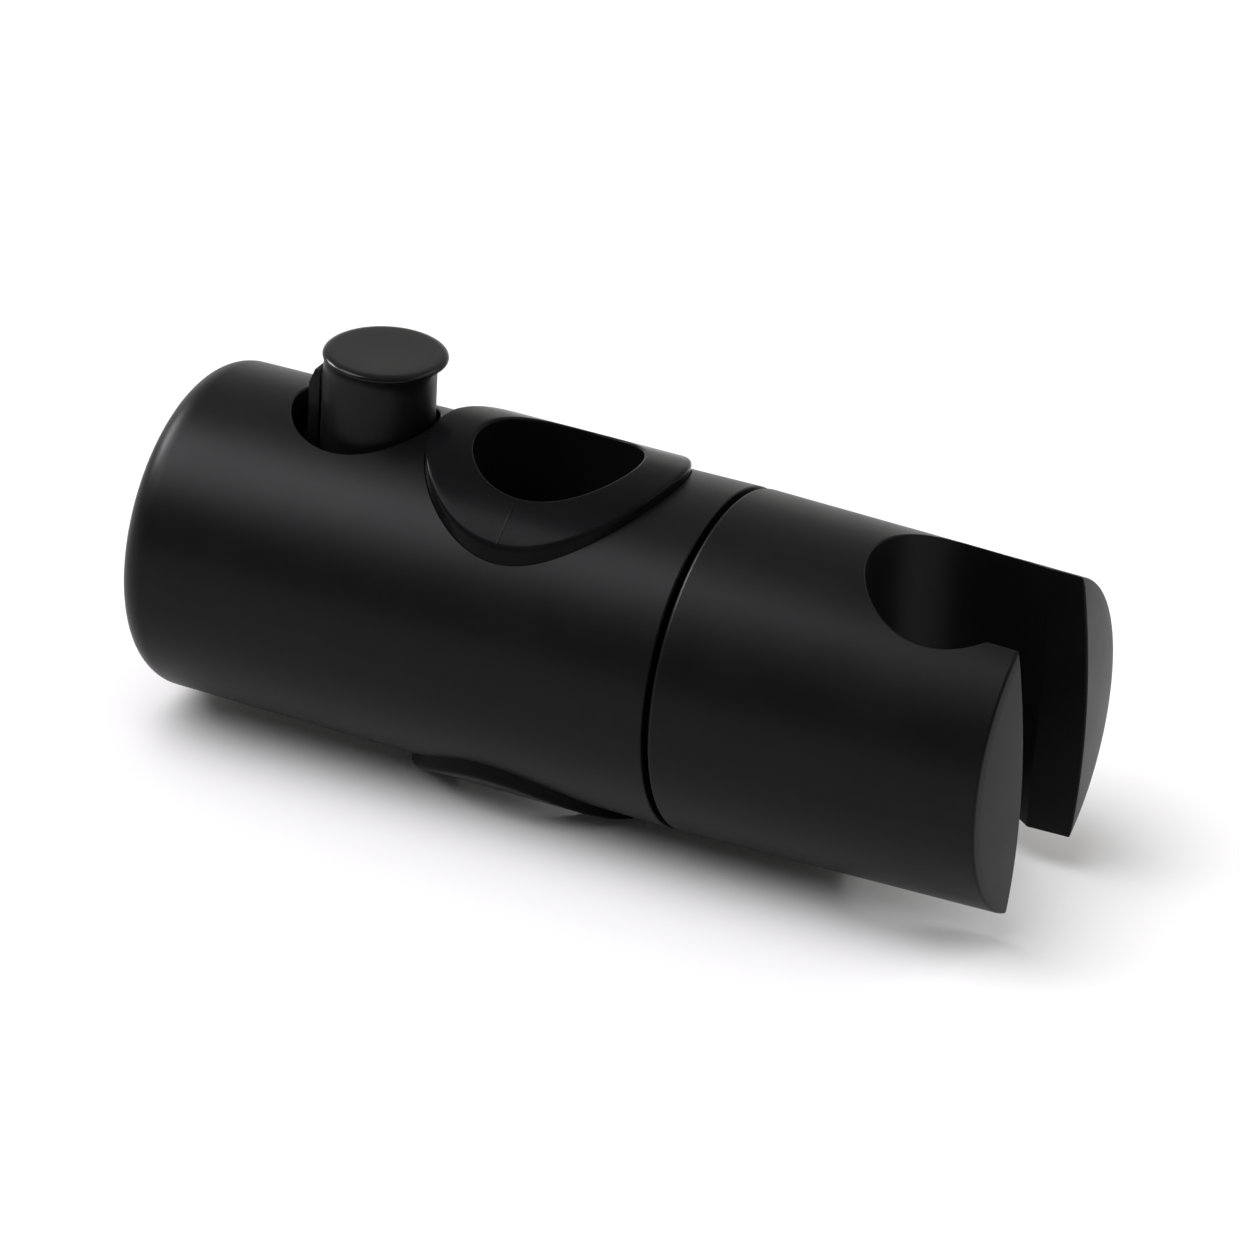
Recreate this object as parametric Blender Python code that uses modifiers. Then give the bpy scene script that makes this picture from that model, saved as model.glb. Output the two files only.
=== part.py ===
"""Shower rail slider: a barrel that clamps on a round riser rail and holds a hand shower.

Metres, +Z up. The rail runs along Z through the origin, and the barrel's axis is X,
with the handset fork at +X and the release button on top at -X.
"""

from math import cos, pi, radians, sin, sqrt

import bmesh
import bpy
from mathutils import Vector

# Clearances
FIT_GAP = 0.0003  # between pieces that touch or run on each other
SLIDE_GAP = 0.0005  # around what slides through a window

# Barrel, body half
SEAM_RADIUS = 0.0200  # outer radius where the body meets the fork
BODY_DRAFT = 0.00063  # the closed end's radius is smaller by this
RAIL_TO_SEAM = 0.0216
BODY_LENGTH = 0.0680  # closed end to the middle of the seam
SEAM_GAP = 0.0009
BARREL_WALL = 0.0027
END_WALL = 0.0025
END_FILLET = 0.0038
SEAM_FILLET = 0.0003
SPRING_BOSS_LENGTH = 0.0060

# Rail collars
RAIL_BORE_RADIUS = 0.00965  # takes a rail of 18 to 19 mm
COLLAR_WALL = 0.00195
FLANGE_LIP = 0.0054  # flange edge to bore, measured flat
FLANGE_PROUD = 0.0011  # above the barrel
FLANGE_SEAT_DEPTH = 0.0008  # recess in the barrel
FLANGE_FILLET = 0.0004
LUG_PROUD = 0.0008  # snap lugs under the barrel's wall
LUG_HEIGHT = 0.0022
LUG_WIDTH = 0.0050

# Release button
BUTTON_BEHIND_RAIL = 0.02232  # cap's centre
BUTTON_STAND = 0.00734  # cap's top face above the top of the barrel
CAP_RADIUS = 0.0072
CAP_HEIGHT = 0.0007
CAP_LIP = 0.0010  # width of its rounded edge
CAP_LIP_HEIGHT = 0.0005
CAP_CONE = 0.0014  # height of the cone that runs from the cap to the stem
CAP_OFFSET = 0.00062  # the cap overhangs the stem on the rail's side
STEM_RADIUS = 0.0066
STEM_TAPER = 0.00008
STEM_WELL = 0.0035  # free room for the stem's travel at the back of the hole
STEM_SIDE_GAP = 0.0003
PEG_RADIUS = 0.0050
PEG_LENGTH = 0.0040

# Clamp
CLAMP_TRAVEL = 0.0016
PAD_PROUD = 0.00075  # the pad stands this far into the rail's bore when no rail is there
PAD_THICKNESS = 0.0022
PAD_HALF_WIDTH = 0.0063
PAD_HALF_HEIGHT = 0.0069
PAD_PEG_RADIUS = 0.0020
PAD_PEG_LENGTH = 0.0030
CARRIAGE_TOP_GAP = 0.0053  # from its flat top to the bore
CARRIAGE_GUIDE = 0.0025  # thickness of its guide plates
CARRIAGE_HALF_WIDTH = 0.0090
CARRIAGE_HALF_HEIGHT = 0.0090
RIB_THICKNESS = 0.0044
RIB_WIDTH = 0.00166
RIB_NECK = 0.0010  # its width where it passes the barrel's wall
RIB_BELOW_CAP = 0.0034  # its top under the cap's top face
CLAMP_COIL_RADIUS = 0.0049
CLAMP_WIRE_RADIUS = 0.0006
CLAMP_COILS = 6  # open turns
COIL_GAP = 0.0001  # between the closed turns at a spring's ends
SPRING_POCKET_DEPTH = 0.0050

# Pivot between the body and the fork
PLATE_FROM_RAIL = 0.0126
PLATE_THICKNESS = 0.0032
PLATE_BOSS_RADIUS = 0.0045
PLATE_BOSS_LENGTH = 0.0052
PLATE_SCREW_EDGE = 0.0033  # screw's centre to the bore
PLATE_SCREW_RADIUS = 0.0013
PLATE_SCREW_SPARE = 0.0026  # free depth of the post's hole past the screw's tip
PLATE_SCREW_HEAD_RADIUS = 0.0026
SCREW_POST_RADIUS = 0.0036
SCREW_POST_CLEARANCE = 0.0006  # from the collars' sleeve
SCREW_POST_FLOOR = 0.0008
FRICTION_THICKNESS = 0.0008
PIVOT_SCREW_RADIUS = 0.0020
PIVOT_HEAD_RADIUS = 0.0036
PIVOT_HEAD_HEIGHT = 0.0023
WASHER_THICKNESS = 0.0008
WASHER_RADIUS = 0.0044
PIVOT_SPRING_LENGTH = 0.0030
PIVOT_COIL_RADIUS = 0.0034
PIVOT_WIRE_RADIUS = 0.0003
PIVOT_COILS = 1
SCREW_CAP_THICKNESS = 0.0022
O_RING_THICKNESS = 0.0011
O_RING_SQUEEZE = 0.0014  # depth of the groove in the spigot
CROSS_WIDTH = 0.0007
CROSS_DEPTH = 0.0010

# Handset fork
FORK_LENGTH = 0.03996  # middle of the seam to the rim of the end face
FORK_DRAFT = 0.00069  # the rim's radius is smaller by this
FORK_END_FILLET = 0.0004
END_DOME = 0.00148
FORK_TILT = 4.2  # degrees about X at rest, leaning to -Y
SOCKET_FROM_RAIL = 0.0510
SOCKET_TOP_RADIUS = 0.0111
SOCKET_BOTTOM_RADIUS = 0.0102
SLOT_WIDTH = 0.01767
SPIGOT_WALL = 0.0028
SPIGOT_CHAMFER = 0.0004
HUB_WALL = 0.0022
HUB_SEAT = 0.0087  # depth of hub left between the plate's boss and the spring's seat
FORK_POCKET_FLOOR = 0.0360

# Facets
BARREL_STEPS = 48
RING_STEPS = 40
SMALL_STEPS = 20

# Sizes that follow
SEAM_X = RAIL_TO_SEAM
BODY_END_RADIUS = SEAM_RADIUS - BODY_DRAFT
FORK_END_RADIUS = SEAM_RADIUS - FORK_DRAFT
BODY_BORE_RADIUS = SEAM_RADIUS - BARREL_WALL
BODY_RIGHT = SEAM_X - SEAM_GAP / 2
BODY_LEFT = SEAM_X - BODY_LENGTH
BODY_BACK = BODY_LEFT + END_WALL
COLLAR_RADIUS = RAIL_BORE_RADIUS + COLLAR_WALL
FLANGE_RADIUS = RAIL_BORE_RADIUS + FLANGE_LIP
FLANGE_SADDLE = SEAM_RADIUS + FLANGE_PROUD
SEAT_SADDLE = SEAM_RADIUS - FLANGE_SEAT_DEPTH
COLLAR_HOLE_RADIUS = COLLAR_RADIUS + FIT_GAP

BUTTON_X = -BUTTON_BEHIND_RAIL
BUTTON_TOP = SEAM_RADIUS + BUTTON_STAND
STEM_X = BUTTON_X - CAP_OFFSET
STEM_HOLE_LEFT = STEM_X - STEM_RADIUS - STEM_WELL
STEM_HOLE_RIGHT = STEM_X + STEM_RADIUS + STEM_SIDE_GAP
STEM_HOLE_X = (STEM_HOLE_LEFT + STEM_HOLE_RIGHT) / 2
STEM_HOLE_RADIUS = (STEM_HOLE_RIGHT - STEM_HOLE_LEFT) / 2

PAD_FACE_X = -(RAIL_BORE_RADIUS - PAD_PROUD)
PAD_BACK_X = PAD_FACE_X - PAD_THICKNESS
NOSE_FACE_X = PAD_BACK_X - FIT_GAP
NOSE_HALF_WIDTH = PAD_HALF_WIDTH + 0.0001
NOSE_HALF_HEIGHT = PAD_HALF_HEIGHT + 0.0001
CARRIAGE_FRONT = -(COLLAR_RADIUS + FIT_GAP)
CARRIAGE_BACK = STEM_X - STEM_RADIUS - FIT_GAP - RIB_WIDTH
CARRIAGE_RADIUS = BODY_BORE_RADIUS - FIT_GAP
CARRIAGE_TOP = BODY_BORE_RADIUS - CARRIAGE_TOP_GAP
RIB_TOP = BUTTON_TOP - RIB_BELOW_CAP
SPRING_POCKET_X = CARRIAGE_BACK + SPRING_POCKET_DEPTH
SPRING_POCKET_RADIUS = CLAMP_COIL_RADIUS + CLAMP_WIRE_RADIUS + SLIDE_GAP
SPRING_BOSS_RADIUS = CLAMP_COIL_RADIUS - CLAMP_WIRE_RADIUS - SLIDE_GAP

PLATE_RIGHT = PLATE_FROM_RAIL + PLATE_THICKNESS
PLATE_BOSS_END = PLATE_RIGHT + PLATE_BOSS_LENGTH
PLATE_RADIUS = BODY_BORE_RADIUS - FIT_GAP
PLATE_SCREW_OFFSET = BODY_BORE_RADIUS - PLATE_SCREW_EDGE
SCREW_POST_RIGHT = PLATE_FROM_RAIL - FIT_GAP
SCREW_POST_INNER = min(PLATE_SCREW_OFFSET - SCREW_POST_RADIUS, COLLAR_RADIUS)
SCREW_POST_LEFT = SCREW_POST_CLEARANCE + sqrt(COLLAR_RADIUS**2 - SCREW_POST_INNER**2)
SCREW_HOLE_RADIUS = PIVOT_SCREW_RADIUS + FIT_GAP
FRICTION_X = PLATE_RIGHT + FIT_GAP
SPIGOT_X = FRICTION_X + FRICTION_THICKNESS + FIT_GAP
SPIGOT_RADIUS = BODY_BORE_RADIUS - FIT_GAP
SHOULDER_X = SEAM_X + SEAM_GAP / 2
HUB_RECESS_RADIUS = PLATE_BOSS_RADIUS + FIT_GAP
HUB_RECESS_X = PLATE_BOSS_END + FIT_GAP
SPRING_SEAT_X = HUB_RECESS_X + HUB_SEAT
COUNTERBORE_RADIUS = max(WASHER_RADIUS, PIVOT_COIL_RADIUS + PIVOT_WIRE_RADIUS) + 0.0004
HUB_RADIUS = COUNTERBORE_RADIUS + HUB_WALL
PIVOT_SPRING_X = SPRING_SEAT_X + FIT_GAP
WASHER_X = PIVOT_SPRING_X + PIVOT_SPRING_LENGTH + FIT_GAP
PIVOT_HEAD_X = WASHER_X + WASHER_THICKNESS + FIT_GAP
SCREW_CAP_X = PIVOT_HEAD_X + PIVOT_HEAD_HEIGHT + FIT_GAP
O_RING_X = (SPIGOT_X + SHOULDER_X) / 2 - 0.0005
GROOVE_RADIUS = SPIGOT_RADIUS - O_RING_SQUEEZE
FORK_RIM_X = SEAM_X + FORK_LENGTH

PARTS = "shower_rail_slider"
CUTTERS = "cutters"


def clear_scene():
    for obj in list(bpy.data.objects):
        bpy.data.objects.remove(obj, do_unlink=True)
    for name in (PARTS, CUTTERS):
        group = bpy.data.collections.new(name)
        bpy.context.scene.collection.children.link(group)


def make_material(name, colour, roughness, metallic=0.0):
    material = bpy.data.materials.new(name)
    material.use_nodes = True
    shader = material.node_tree.nodes["Principled BSDF"]
    shader.inputs["Base Color"].default_value = (*colour, 1.0)
    shader.inputs["Roughness"].default_value = roughness
    shader.inputs["Metallic"].default_value = metallic
    return material


def add_object(name, data, group=PARTS):
    obj = bpy.data.objects.new(name, data)
    bpy.data.collections[group].objects.link(obj)
    if group == CUTTERS:
        obj.hide_render = True
        obj.display_type = "WIRE"
    return obj


def finish(obj, material, parent=None):
    """Smooth shading, a material and a parent for a finished part."""
    obj.data.materials.clear()
    obj.data.materials.append(material)
    if obj.type == "MESH":
        obj.data.shade_smooth()
        obj.data.set_sharp_from_angle(angle=radians(35))
    if parent:
        obj.parent = parent
    return obj


def arc(centre, radius, start, end, count):
    """Points of an arc from start to end, in degrees, both ends included."""
    angles = [radians(start + (end - start) * i / count) for i in range(count + 1)]
    return [(centre[0] + radius * cos(a), centre[1] + radius * sin(a)) for a in angles]


def turned(name, profile, steps, closed=False, group=PARTS, along_x=True):
    """A profile of (radius, height) points turned about the X axis, or about Z."""
    mesh = bpy.data.meshes.new(name)
    points = [(r, 0.0, h) for r, h in profile]
    edges = [(i, i + 1) for i in range(len(points) - 1)]
    if closed:
        edges.append((len(points) - 1, 0))
    mesh.from_pydata(points, edges, [])
    obj = add_object(name, mesh, group)
    screw = obj.modifiers.new("Turn", "SCREW")
    screw.steps = screw.render_steps = steps
    screw.use_merge_vertices = True
    screw.merge_threshold = 0.00001
    if along_x:
        obj.rotation_euler = (0.0, pi / 2, 0.0)
    return obj


def baked(obj):
    """The object with its modifiers applied and its rotation put into its mesh."""
    bpy.context.view_layer.update()
    graph = bpy.context.evaluated_depsgraph_get()
    mesh = bpy.data.meshes.new_from_object(obj.evaluated_get(graph))
    mesh.transform(obj.matrix_world)
    name = obj.name
    group = obj.users_collection[0].name
    bpy.data.objects.remove(obj, do_unlink=True)
    return add_object(name, mesh, group)


def block(name, low, high, group=PARTS):
    """A box between two corners."""
    mesh = bpy.data.meshes.new(name)
    form = bmesh.new()
    bmesh.ops.create_cube(form, size=1.0)
    low, high = Vector(low), Vector(high)
    for vert in form.verts:
        vert.co = (low + high) / 2 + vert.co * (high - low)
    form.to_mesh(mesh)
    form.free()
    return add_object(name, mesh, group)


def rod(name, radius, start, end, steps=SMALL_STEPS, end_radius=None, group=PARTS):
    """A cylinder or cone from start to end, along X, Y or Z."""
    mesh = bpy.data.meshes.new(name)
    start, end = Vector(start), Vector(end)
    way = end - start
    form = bmesh.new()
    bmesh.ops.create_cone(
        form,
        cap_ends=True,
        segments=steps,
        radius1=radius,
        radius2=radius if end_radius is None else end_radius,
        depth=way.length,
    )
    bmesh.ops.rotate(form, verts=form.verts, matrix=way.to_track_quat("Z", "Y").to_matrix())
    bmesh.ops.translate(form, verts=form.verts, vec=(start + end) / 2)
    form.to_mesh(mesh)
    form.free()
    return add_object(name, mesh, group)


def boolean(obj, other, operation):
    modifier = obj.modifiers.new(operation.title() + " " + other.name, "BOOLEAN")
    modifier.operation = operation
    modifier.object = other
    if other.name not in bpy.data.collections[CUTTERS].objects:
        for group in list(other.users_collection):
            group.objects.unlink(other)
        bpy.data.collections[CUTTERS].objects.link(other)
        other.hide_render = True
        other.display_type = "WIRE"


def cut(obj, *others):
    for other in others:
        boolean(obj, other, "DIFFERENCE")


def join(obj, *others):
    for other in others:
        boolean(obj, other, "UNION")


def barrel_radius(x):
    """Outer radius of the tapered barrel at x."""
    if x < SEAM_X:
        return SEAM_RADIUS + (BODY_END_RADIUS - SEAM_RADIUS) * (SEAM_X - x) / BODY_LENGTH
    return SEAM_RADIUS + (FORK_END_RADIUS - SEAM_RADIUS) * (x - SEAM_X) / FORK_LENGTH


def drape(obj):
    """Bends what is turned about Z over the barrel.

    A point's height above the bore stands for a radius about the barrel's axis.
    """
    for vert in obj.data.vertices:
        if vert.co.z > BODY_BORE_RADIUS:
            vert.co.z = sqrt(vert.co.z**2 - vert.co.y**2)
    obj.data.update()
    return obj


def coil(name, start_x, length, coil_radius, wire_radius, turns):
    """A compression spring along X: open turns between a closed turn at each end."""
    per_turn = 12
    count = (turns + 2) * per_turn
    closed = 2 * wire_radius + COIL_GAP
    pitch = (length - 2 * wire_radius - 2 * closed) / turns
    points = []
    for i in range(count + 1):
        turn = i / per_turn
        first = min(turn, 1.0) * closed
        middle = min(max(turn - 1.0, 0.0), turns) * pitch
        last = max(turn - 1.0 - turns, 0.0) * closed
        x = start_x + wire_radius + first + middle + last
        angle = 2 * pi * turn
        points.append((x, coil_radius * sin(angle), coil_radius * cos(angle)))
    curve = bpy.data.curves.new(name, "CURVE")
    curve.dimensions = "3D"
    spline = curve.splines.new("POLY")
    spline.points.add(count)
    for point, place in zip(spline.points, points):
        point.co = (*place, 1.0)
    curve.bevel_depth = wire_radius
    curve.bevel_resolution = 1
    curve.use_fill_caps = True
    return add_object(name, curve)


def cross_recess(obj, top_x, y):
    """A crosshead recess in the end face of a screw."""
    half = CROSS_WIDTH / 2
    arm = 2.2 * CROSS_WIDTH
    low, high = top_x - CROSS_DEPTH, top_x + CROSS_DEPTH
    flat = block(obj.name + "_slot_y", (low, y - arm, -half), (high, y + arm, half), CUTTERS)
    upright = block(obj.name + "_slot_z", (low, y - half, -arm), (high, y + half, arm), CUTTERS)
    cut(obj, flat, upright)


def body_shell(material):
    """The barrel's closed half, with holes for the rail, its collars and the button."""
    end = BODY_END_RADIUS
    profile = [
        (0.0, BODY_BACK + SPRING_BOSS_LENGTH),
        (SPRING_BOSS_RADIUS, BODY_BACK + SPRING_BOSS_LENGTH),
        (SPRING_BOSS_RADIUS, BODY_BACK),
        (BODY_BORE_RADIUS - 0.001, BODY_BACK),
        (BODY_BORE_RADIUS, BODY_BACK + 0.001),
        (BODY_BORE_RADIUS, BODY_RIGHT),
    ]
    edge = (SEAM_RADIUS - SEAM_FILLET, BODY_RIGHT - SEAM_FILLET)
    profile += arc(edge, SEAM_FILLET, 90, 0, 1)
    profile += arc((end - END_FILLET, BODY_LEFT + END_FILLET), END_FILLET, 0, -90, 5)
    profile.append((0.0, BODY_LEFT))
    shell = turned("body_shell", profile, BARREL_STEPS)
    for side in (-1, 1):
        y = side * PLATE_SCREW_OFFSET
        low, high = SCREW_POST_LEFT, SCREW_POST_RIGHT
        post = rod(f"screw_post_{side}", SCREW_POST_RADIUS, (low, y, 0), (high, y, 0))
        hole_radius = PLATE_SCREW_RADIUS + FIT_GAP
        floor = low + SCREW_POST_FLOOR
        hole = rod(f"post_hole_{side}", hole_radius, (floor, y, 0), (high + 0.001, y, 0))
        join(shell, post)
        cut(shell, hole)
        cut(shell, flange_seat(side))
    reach = 1.5 * SEAM_RADIUS
    passage = rod(
        "rail_passage", COLLAR_HOLE_RADIUS, (0, 0, -reach), (0, 0, reach), RING_STEPS
    )
    well = rod(
        "button_well",
        STEM_HOLE_RADIUS,
        (STEM_HOLE_X, 0, BODY_BORE_RADIUS / 2),
        (STEM_HOLE_X, 0, reach),
        RING_STEPS,
    )
    cut(shell, passage, well)
    return finish(shell, material)


def flange_seat(side):
    """The shallow recess that the collar's flange lies in, above (1) or below (-1)."""
    inner, outer = COLLAR_RADIUS - COLLAR_WALL / 2, FLANGE_RADIUS + FIT_GAP
    middle = (COLLAR_RADIUS + FLANGE_RADIUS) / 2
    high = FLANGE_SADDLE + 0.003
    profile = [(inner, SEAT_SADDLE), (inner, high), (outer, high)]
    profile += [(outer, SEAT_SADDLE), (middle, SEAT_SADDLE)]
    ring = turned(f"flange_seat_{side}", profile, RING_STEPS, True, CUTTERS, False)
    ring = drape(baked(ring))
    if side < 0:
        ring.rotation_euler.x = pi
    return ring


def rail_collar(name, side, material):
    """A flanged sleeve that lines the rail's passage from one face to the barrel's axis."""
    top, foot = FLANGE_SADDLE, SEAT_SADDLE + FIT_GAP
    fillet = FLANGE_FILLET
    inner, outer = RAIL_BORE_RADIUS, FLANGE_RADIUS
    third = (outer - inner - 2 * fillet) / 3
    profile = [(inner, FIT_GAP / 2)]
    profile += arc((inner + fillet, top - fillet), fillet, 180, 90, 3)
    profile += [(inner + fillet + third, top), (inner + fillet + 2 * third, top)]
    profile += arc((outer - fillet, top - fillet), fillet, 90, 0, 3)
    profile += [(outer, foot), ((outer + COLLAR_RADIUS) / 2, foot)]
    profile += [(COLLAR_RADIUS, foot), (COLLAR_RADIUS, FIT_GAP / 2)]
    collar = turned(name, profile, RING_STEPS, True, PARTS, False)
    collar = drape(baked(collar))
    window = block(
        name + "_window",
        (-COLLAR_RADIUS - 0.002, -NOSE_HALF_WIDTH - SLIDE_GAP, -0.001),
        (-RAIL_BORE_RADIUS / 2, NOSE_HALF_WIDTH + SLIDE_GAP, NOSE_HALF_HEIGHT + SLIDE_GAP),
        CUTTERS,
    )
    lug_reach = COLLAR_RADIUS + LUG_PROUD
    lug_top = sqrt(BODY_BORE_RADIUS**2 - lug_reach**2) - FIT_GAP
    for way in (-1, 1):
        lug = block(
            f"{name}_lug_{way}",
            (-LUG_WIDTH / 2, way * (COLLAR_RADIUS - COLLAR_WALL / 2), lug_top - LUG_HEIGHT),
            (LUG_WIDTH / 2, way * lug_reach, lug_top),
            CUTTERS,
        )
        for vert in lug.data.vertices:
            if abs(vert.co.y) > COLLAR_RADIUS and vert.co.z < lug_top - LUG_HEIGHT / 2:
                vert.co.y = way * (COLLAR_RADIUS - COLLAR_WALL / 4)
        turn_outwards(lug)
        join(collar, lug)
        lug.parent = collar
    cut(collar, window)
    window.parent = collar
    if side < 0:
        collar.rotation_euler.x = pi
    return finish(collar, material)


def turn_outwards(obj):
    form = bmesh.new()
    form.from_mesh(obj.data)
    bmesh.ops.recalc_face_normals(form, faces=form.faces)
    form.to_mesh(obj.data)
    form.free()


def release_button(material, parent):
    """A capped stem, with a peg that presses into the carriage."""
    cap_side = BUTTON_TOP - CAP_HEIGHT
    shoulder = CARRIAGE_TOP + FIT_GAP
    profile = [(0.0, BUTTON_TOP)]
    for turn in (90, 60, 30, 0):
        across = CAP_RADIUS - CAP_LIP * (1 - cos(radians(turn)))
        profile.append((across, BUTTON_TOP - CAP_LIP_HEIGHT * (1 - sin(radians(turn)))))
    profile += [
        (CAP_RADIUS, cap_side),
        (STEM_RADIUS - STEM_TAPER, cap_side - CAP_CONE),
        (STEM_RADIUS, shoulder + 0.0003),
        (STEM_RADIUS - 0.0003, shoulder),
        (PEG_RADIUS, shoulder),
        (PEG_RADIUS, shoulder - PEG_LENGTH + 0.0005),
        (PEG_RADIUS - 0.0005, shoulder - PEG_LENGTH),
        (0.0, shoulder - PEG_LENGTH),
    ]
    button = baked(turned("release_button", profile, RING_STEPS, along_x=False))
    for vert in button.data.vertices:
        vert.co.x += BUTTON_X if vert.co.z > cap_side - 0.0003 else STEM_X
    return finish(button, material, parent)


def clamp_carriage(material, parent):
    """The sliding block between spring and pad, guided by the barrel's bore."""
    guide = CARRIAGE_GUIDE
    wide, tall = CARRIAGE_HALF_WIDTH, CARRIAGE_HALF_HEIGHT
    front, back = CARRIAGE_FRONT, CARRIAGE_BACK
    carriage = rod(
        "clamp_carriage", CARRIAGE_RADIUS, (back, 0, 0), (back + guide, 0, 0), BARREL_STEPS
    )
    front_plate = rod(
        "front_guide", CARRIAGE_RADIUS, (front - guide, 0, 0), (front, 0, 0), BARREL_STEPS
    )
    top = CARRIAGE_TOP + 0.001
    core = block("carriage_core", (back + guide / 2, -wide, -tall), (front - guide / 2, wide, top))
    nose = block(
        "carriage_nose",
        (front - guide / 2, -NOSE_HALF_WIDTH, -NOSE_HALF_HEIGHT),
        (NOSE_FACE_X, NOSE_HALF_WIDTH, NOSE_HALF_HEIGHT),
    )
    join(carriage, front_plate, core, nose)
    reach = 1.5 * SEAM_RADIUS
    trim = block(
        "carriage_trim", (back - reach, -reach, CARRIAGE_TOP), (front + reach, reach, reach), CUTTERS
    )
    socket_floor = CARRIAGE_TOP + FIT_GAP - PEG_LENGTH - FIT_GAP
    socket = rod(
        "peg_socket",
        PEG_RADIUS + FIT_GAP,
        (STEM_X, 0, socket_floor),
        (STEM_X, 0, reach),
        RING_STEPS,
    )
    pocket = rod(
        "spring_pocket", SPRING_POCKET_RADIUS, (back - 0.002, 0, 0), (SPRING_POCKET_X, 0, 0)
    )
    peg_hole = rod(
        "pad_peg_hole",
        PAD_PEG_RADIUS + FIT_GAP,
        (PAD_BACK_X - PAD_PEG_LENGTH - FIT_GAP, 0, 0),
        (NOSE_FACE_X + 0.002, 0, 0),
    )
    cut(carriage, trim, socket, pocket, peg_hole)
    join(carriage, back_rib())
    return finish(carriage, material, parent)


def back_rib():
    """The upright rib behind the button's stem, slimmer from the barrel's wall up."""
    edge = STEM_X - STEM_RADIUS - FIT_GAP
    wall_foot = BODY_BORE_RADIUS - CLAMP_TRAVEL
    outline = [
        (edge, CARRIAGE_TOP - 0.002),
        (edge, RIB_TOP),
        (edge - 0.0003, RIB_TOP),
        (edge - RIB_NECK, RIB_TOP - 0.0018),
        (edge - RIB_NECK, wall_foot + 0.0007),
        (edge - RIB_WIDTH, wall_foot),
        (edge - RIB_WIDTH, CARRIAGE_TOP - 0.002),
    ]
    mesh = bpy.data.meshes.new("back_rib")
    form = bmesh.new()
    half = RIB_THICKNESS / 2
    side = form.faces.new([form.verts.new((x, -half, z)) for x, z in outline])
    raised = bmesh.ops.extrude_face_region(form, geom=[side])
    verts = [item for item in raised["geom"] if isinstance(item, bmesh.types.BMVert)]
    bmesh.ops.translate(form, verts=verts, vec=(0, RIB_THICKNESS, 0))
    bmesh.ops.recalc_face_normals(form, faces=form.faces)
    form.to_mesh(mesh)
    form.free()
    return add_object("back_rib", mesh, CUTTERS)


def clamp_pad(material, parent):
    """The rubber pad, hollowed to the rail's radius, with a peg in the carriage's nose."""
    front = -RAIL_BORE_RADIUS / 3
    pad = block(
        "clamp_pad",
        (PAD_BACK_X, -PAD_HALF_WIDTH, -PAD_HALF_HEIGHT),
        (front, PAD_HALF_WIDTH, PAD_HALF_HEIGHT),
    )
    rail_x = PAD_FACE_X + RAIL_BORE_RADIUS
    tall = 2 * PAD_HALF_HEIGHT
    hollow = rod(
        "pad_hollow", RAIL_BORE_RADIUS, (rail_x, 0, -tall), (rail_x, 0, tall), RING_STEPS, group=CUTTERS
    )
    peg = rod(
        "pad_peg", PAD_PEG_RADIUS, (PAD_BACK_X - PAD_PEG_LENGTH, 0, 0), (PAD_BACK_X + 0.001, 0, 0)
    )
    cut(pad, hollow)
    join(pad, peg)
    return finish(pad, material, parent)


def pivot_plate(material):
    """The plate that closes the barrel and carries the pivot screw in a threaded boss."""
    left, right = PLATE_FROM_RAIL, PLATE_RIGHT
    profile = [
        (SCREW_HOLE_RADIUS, left),
        (SCREW_HOLE_RADIUS, PLATE_BOSS_END),
        (PLATE_BOSS_RADIUS, PLATE_BOSS_END),
        (PLATE_BOSS_RADIUS, right),
        (PLATE_RADIUS, right),
        (PLATE_RADIUS, left),
    ]
    plate = turned("pivot_plate", profile, RING_STEPS, True)
    for side in (-1, 1):
        y = side * PLATE_SCREW_OFFSET
        through = PLATE_SCREW_RADIUS + FIT_GAP
        head = PLATE_SCREW_HEAD_RADIUS + FIT_GAP
        over = 0.0005
        hole = rod(f"plate_hole_{side}", through, (left - over, y, 0), (right + over, y, 0))
        sink = rod(
            f"plate_sink_{side}",
            through - over,
            (right - head + through - over, y, 0),
            (right + over, y, 0),
            end_radius=head + over,
        )
        cut(plate, hole, sink)
    return finish(plate, material)


def plate_screw(name, side, material):
    """A flat-head screw, flush in the pivot plate."""
    top = PLATE_RIGHT - 0.0001
    cone = PLATE_SCREW_HEAD_RADIUS - PLATE_SCREW_RADIUS
    tip = SCREW_POST_LEFT + SCREW_POST_FLOOR + PLATE_SCREW_SPARE
    profile = [
        (0.0, top),
        (PLATE_SCREW_HEAD_RADIUS, top),
        (PLATE_SCREW_RADIUS, top - cone),
        (PLATE_SCREW_RADIUS, tip + 0.0008),
        (0.0, tip),
    ]
    screw = baked(turned(name, profile, SMALL_STEPS))
    for vert in screw.data.vertices:
        vert.co.y += side * PLATE_SCREW_OFFSET
    cross_recess(screw, top, side * PLATE_SCREW_OFFSET)
    return finish(screw, material)


def pivot_screw(material):
    """The pan-head screw that the fork turns on."""
    top = PIVOT_HEAD_X + PIVOT_HEAD_HEIGHT
    tip = PLATE_FROM_RAIL + 0.0006
    round_off = 0.0008
    profile = [(0.0, top)]
    profile += arc((PIVOT_HEAD_RADIUS - round_off, top - round_off), round_off, 90, 0, 3)
    profile += [
        (PIVOT_HEAD_RADIUS, PIVOT_HEAD_X),
        (PIVOT_SCREW_RADIUS, PIVOT_HEAD_X),
        (PIVOT_SCREW_RADIUS, tip + 0.0010),
        (0.0, tip),
    ]
    screw = turned("pivot_screw", profile, SMALL_STEPS)
    cross_recess(screw, top, 0.0)
    return finish(screw, material)


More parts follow.
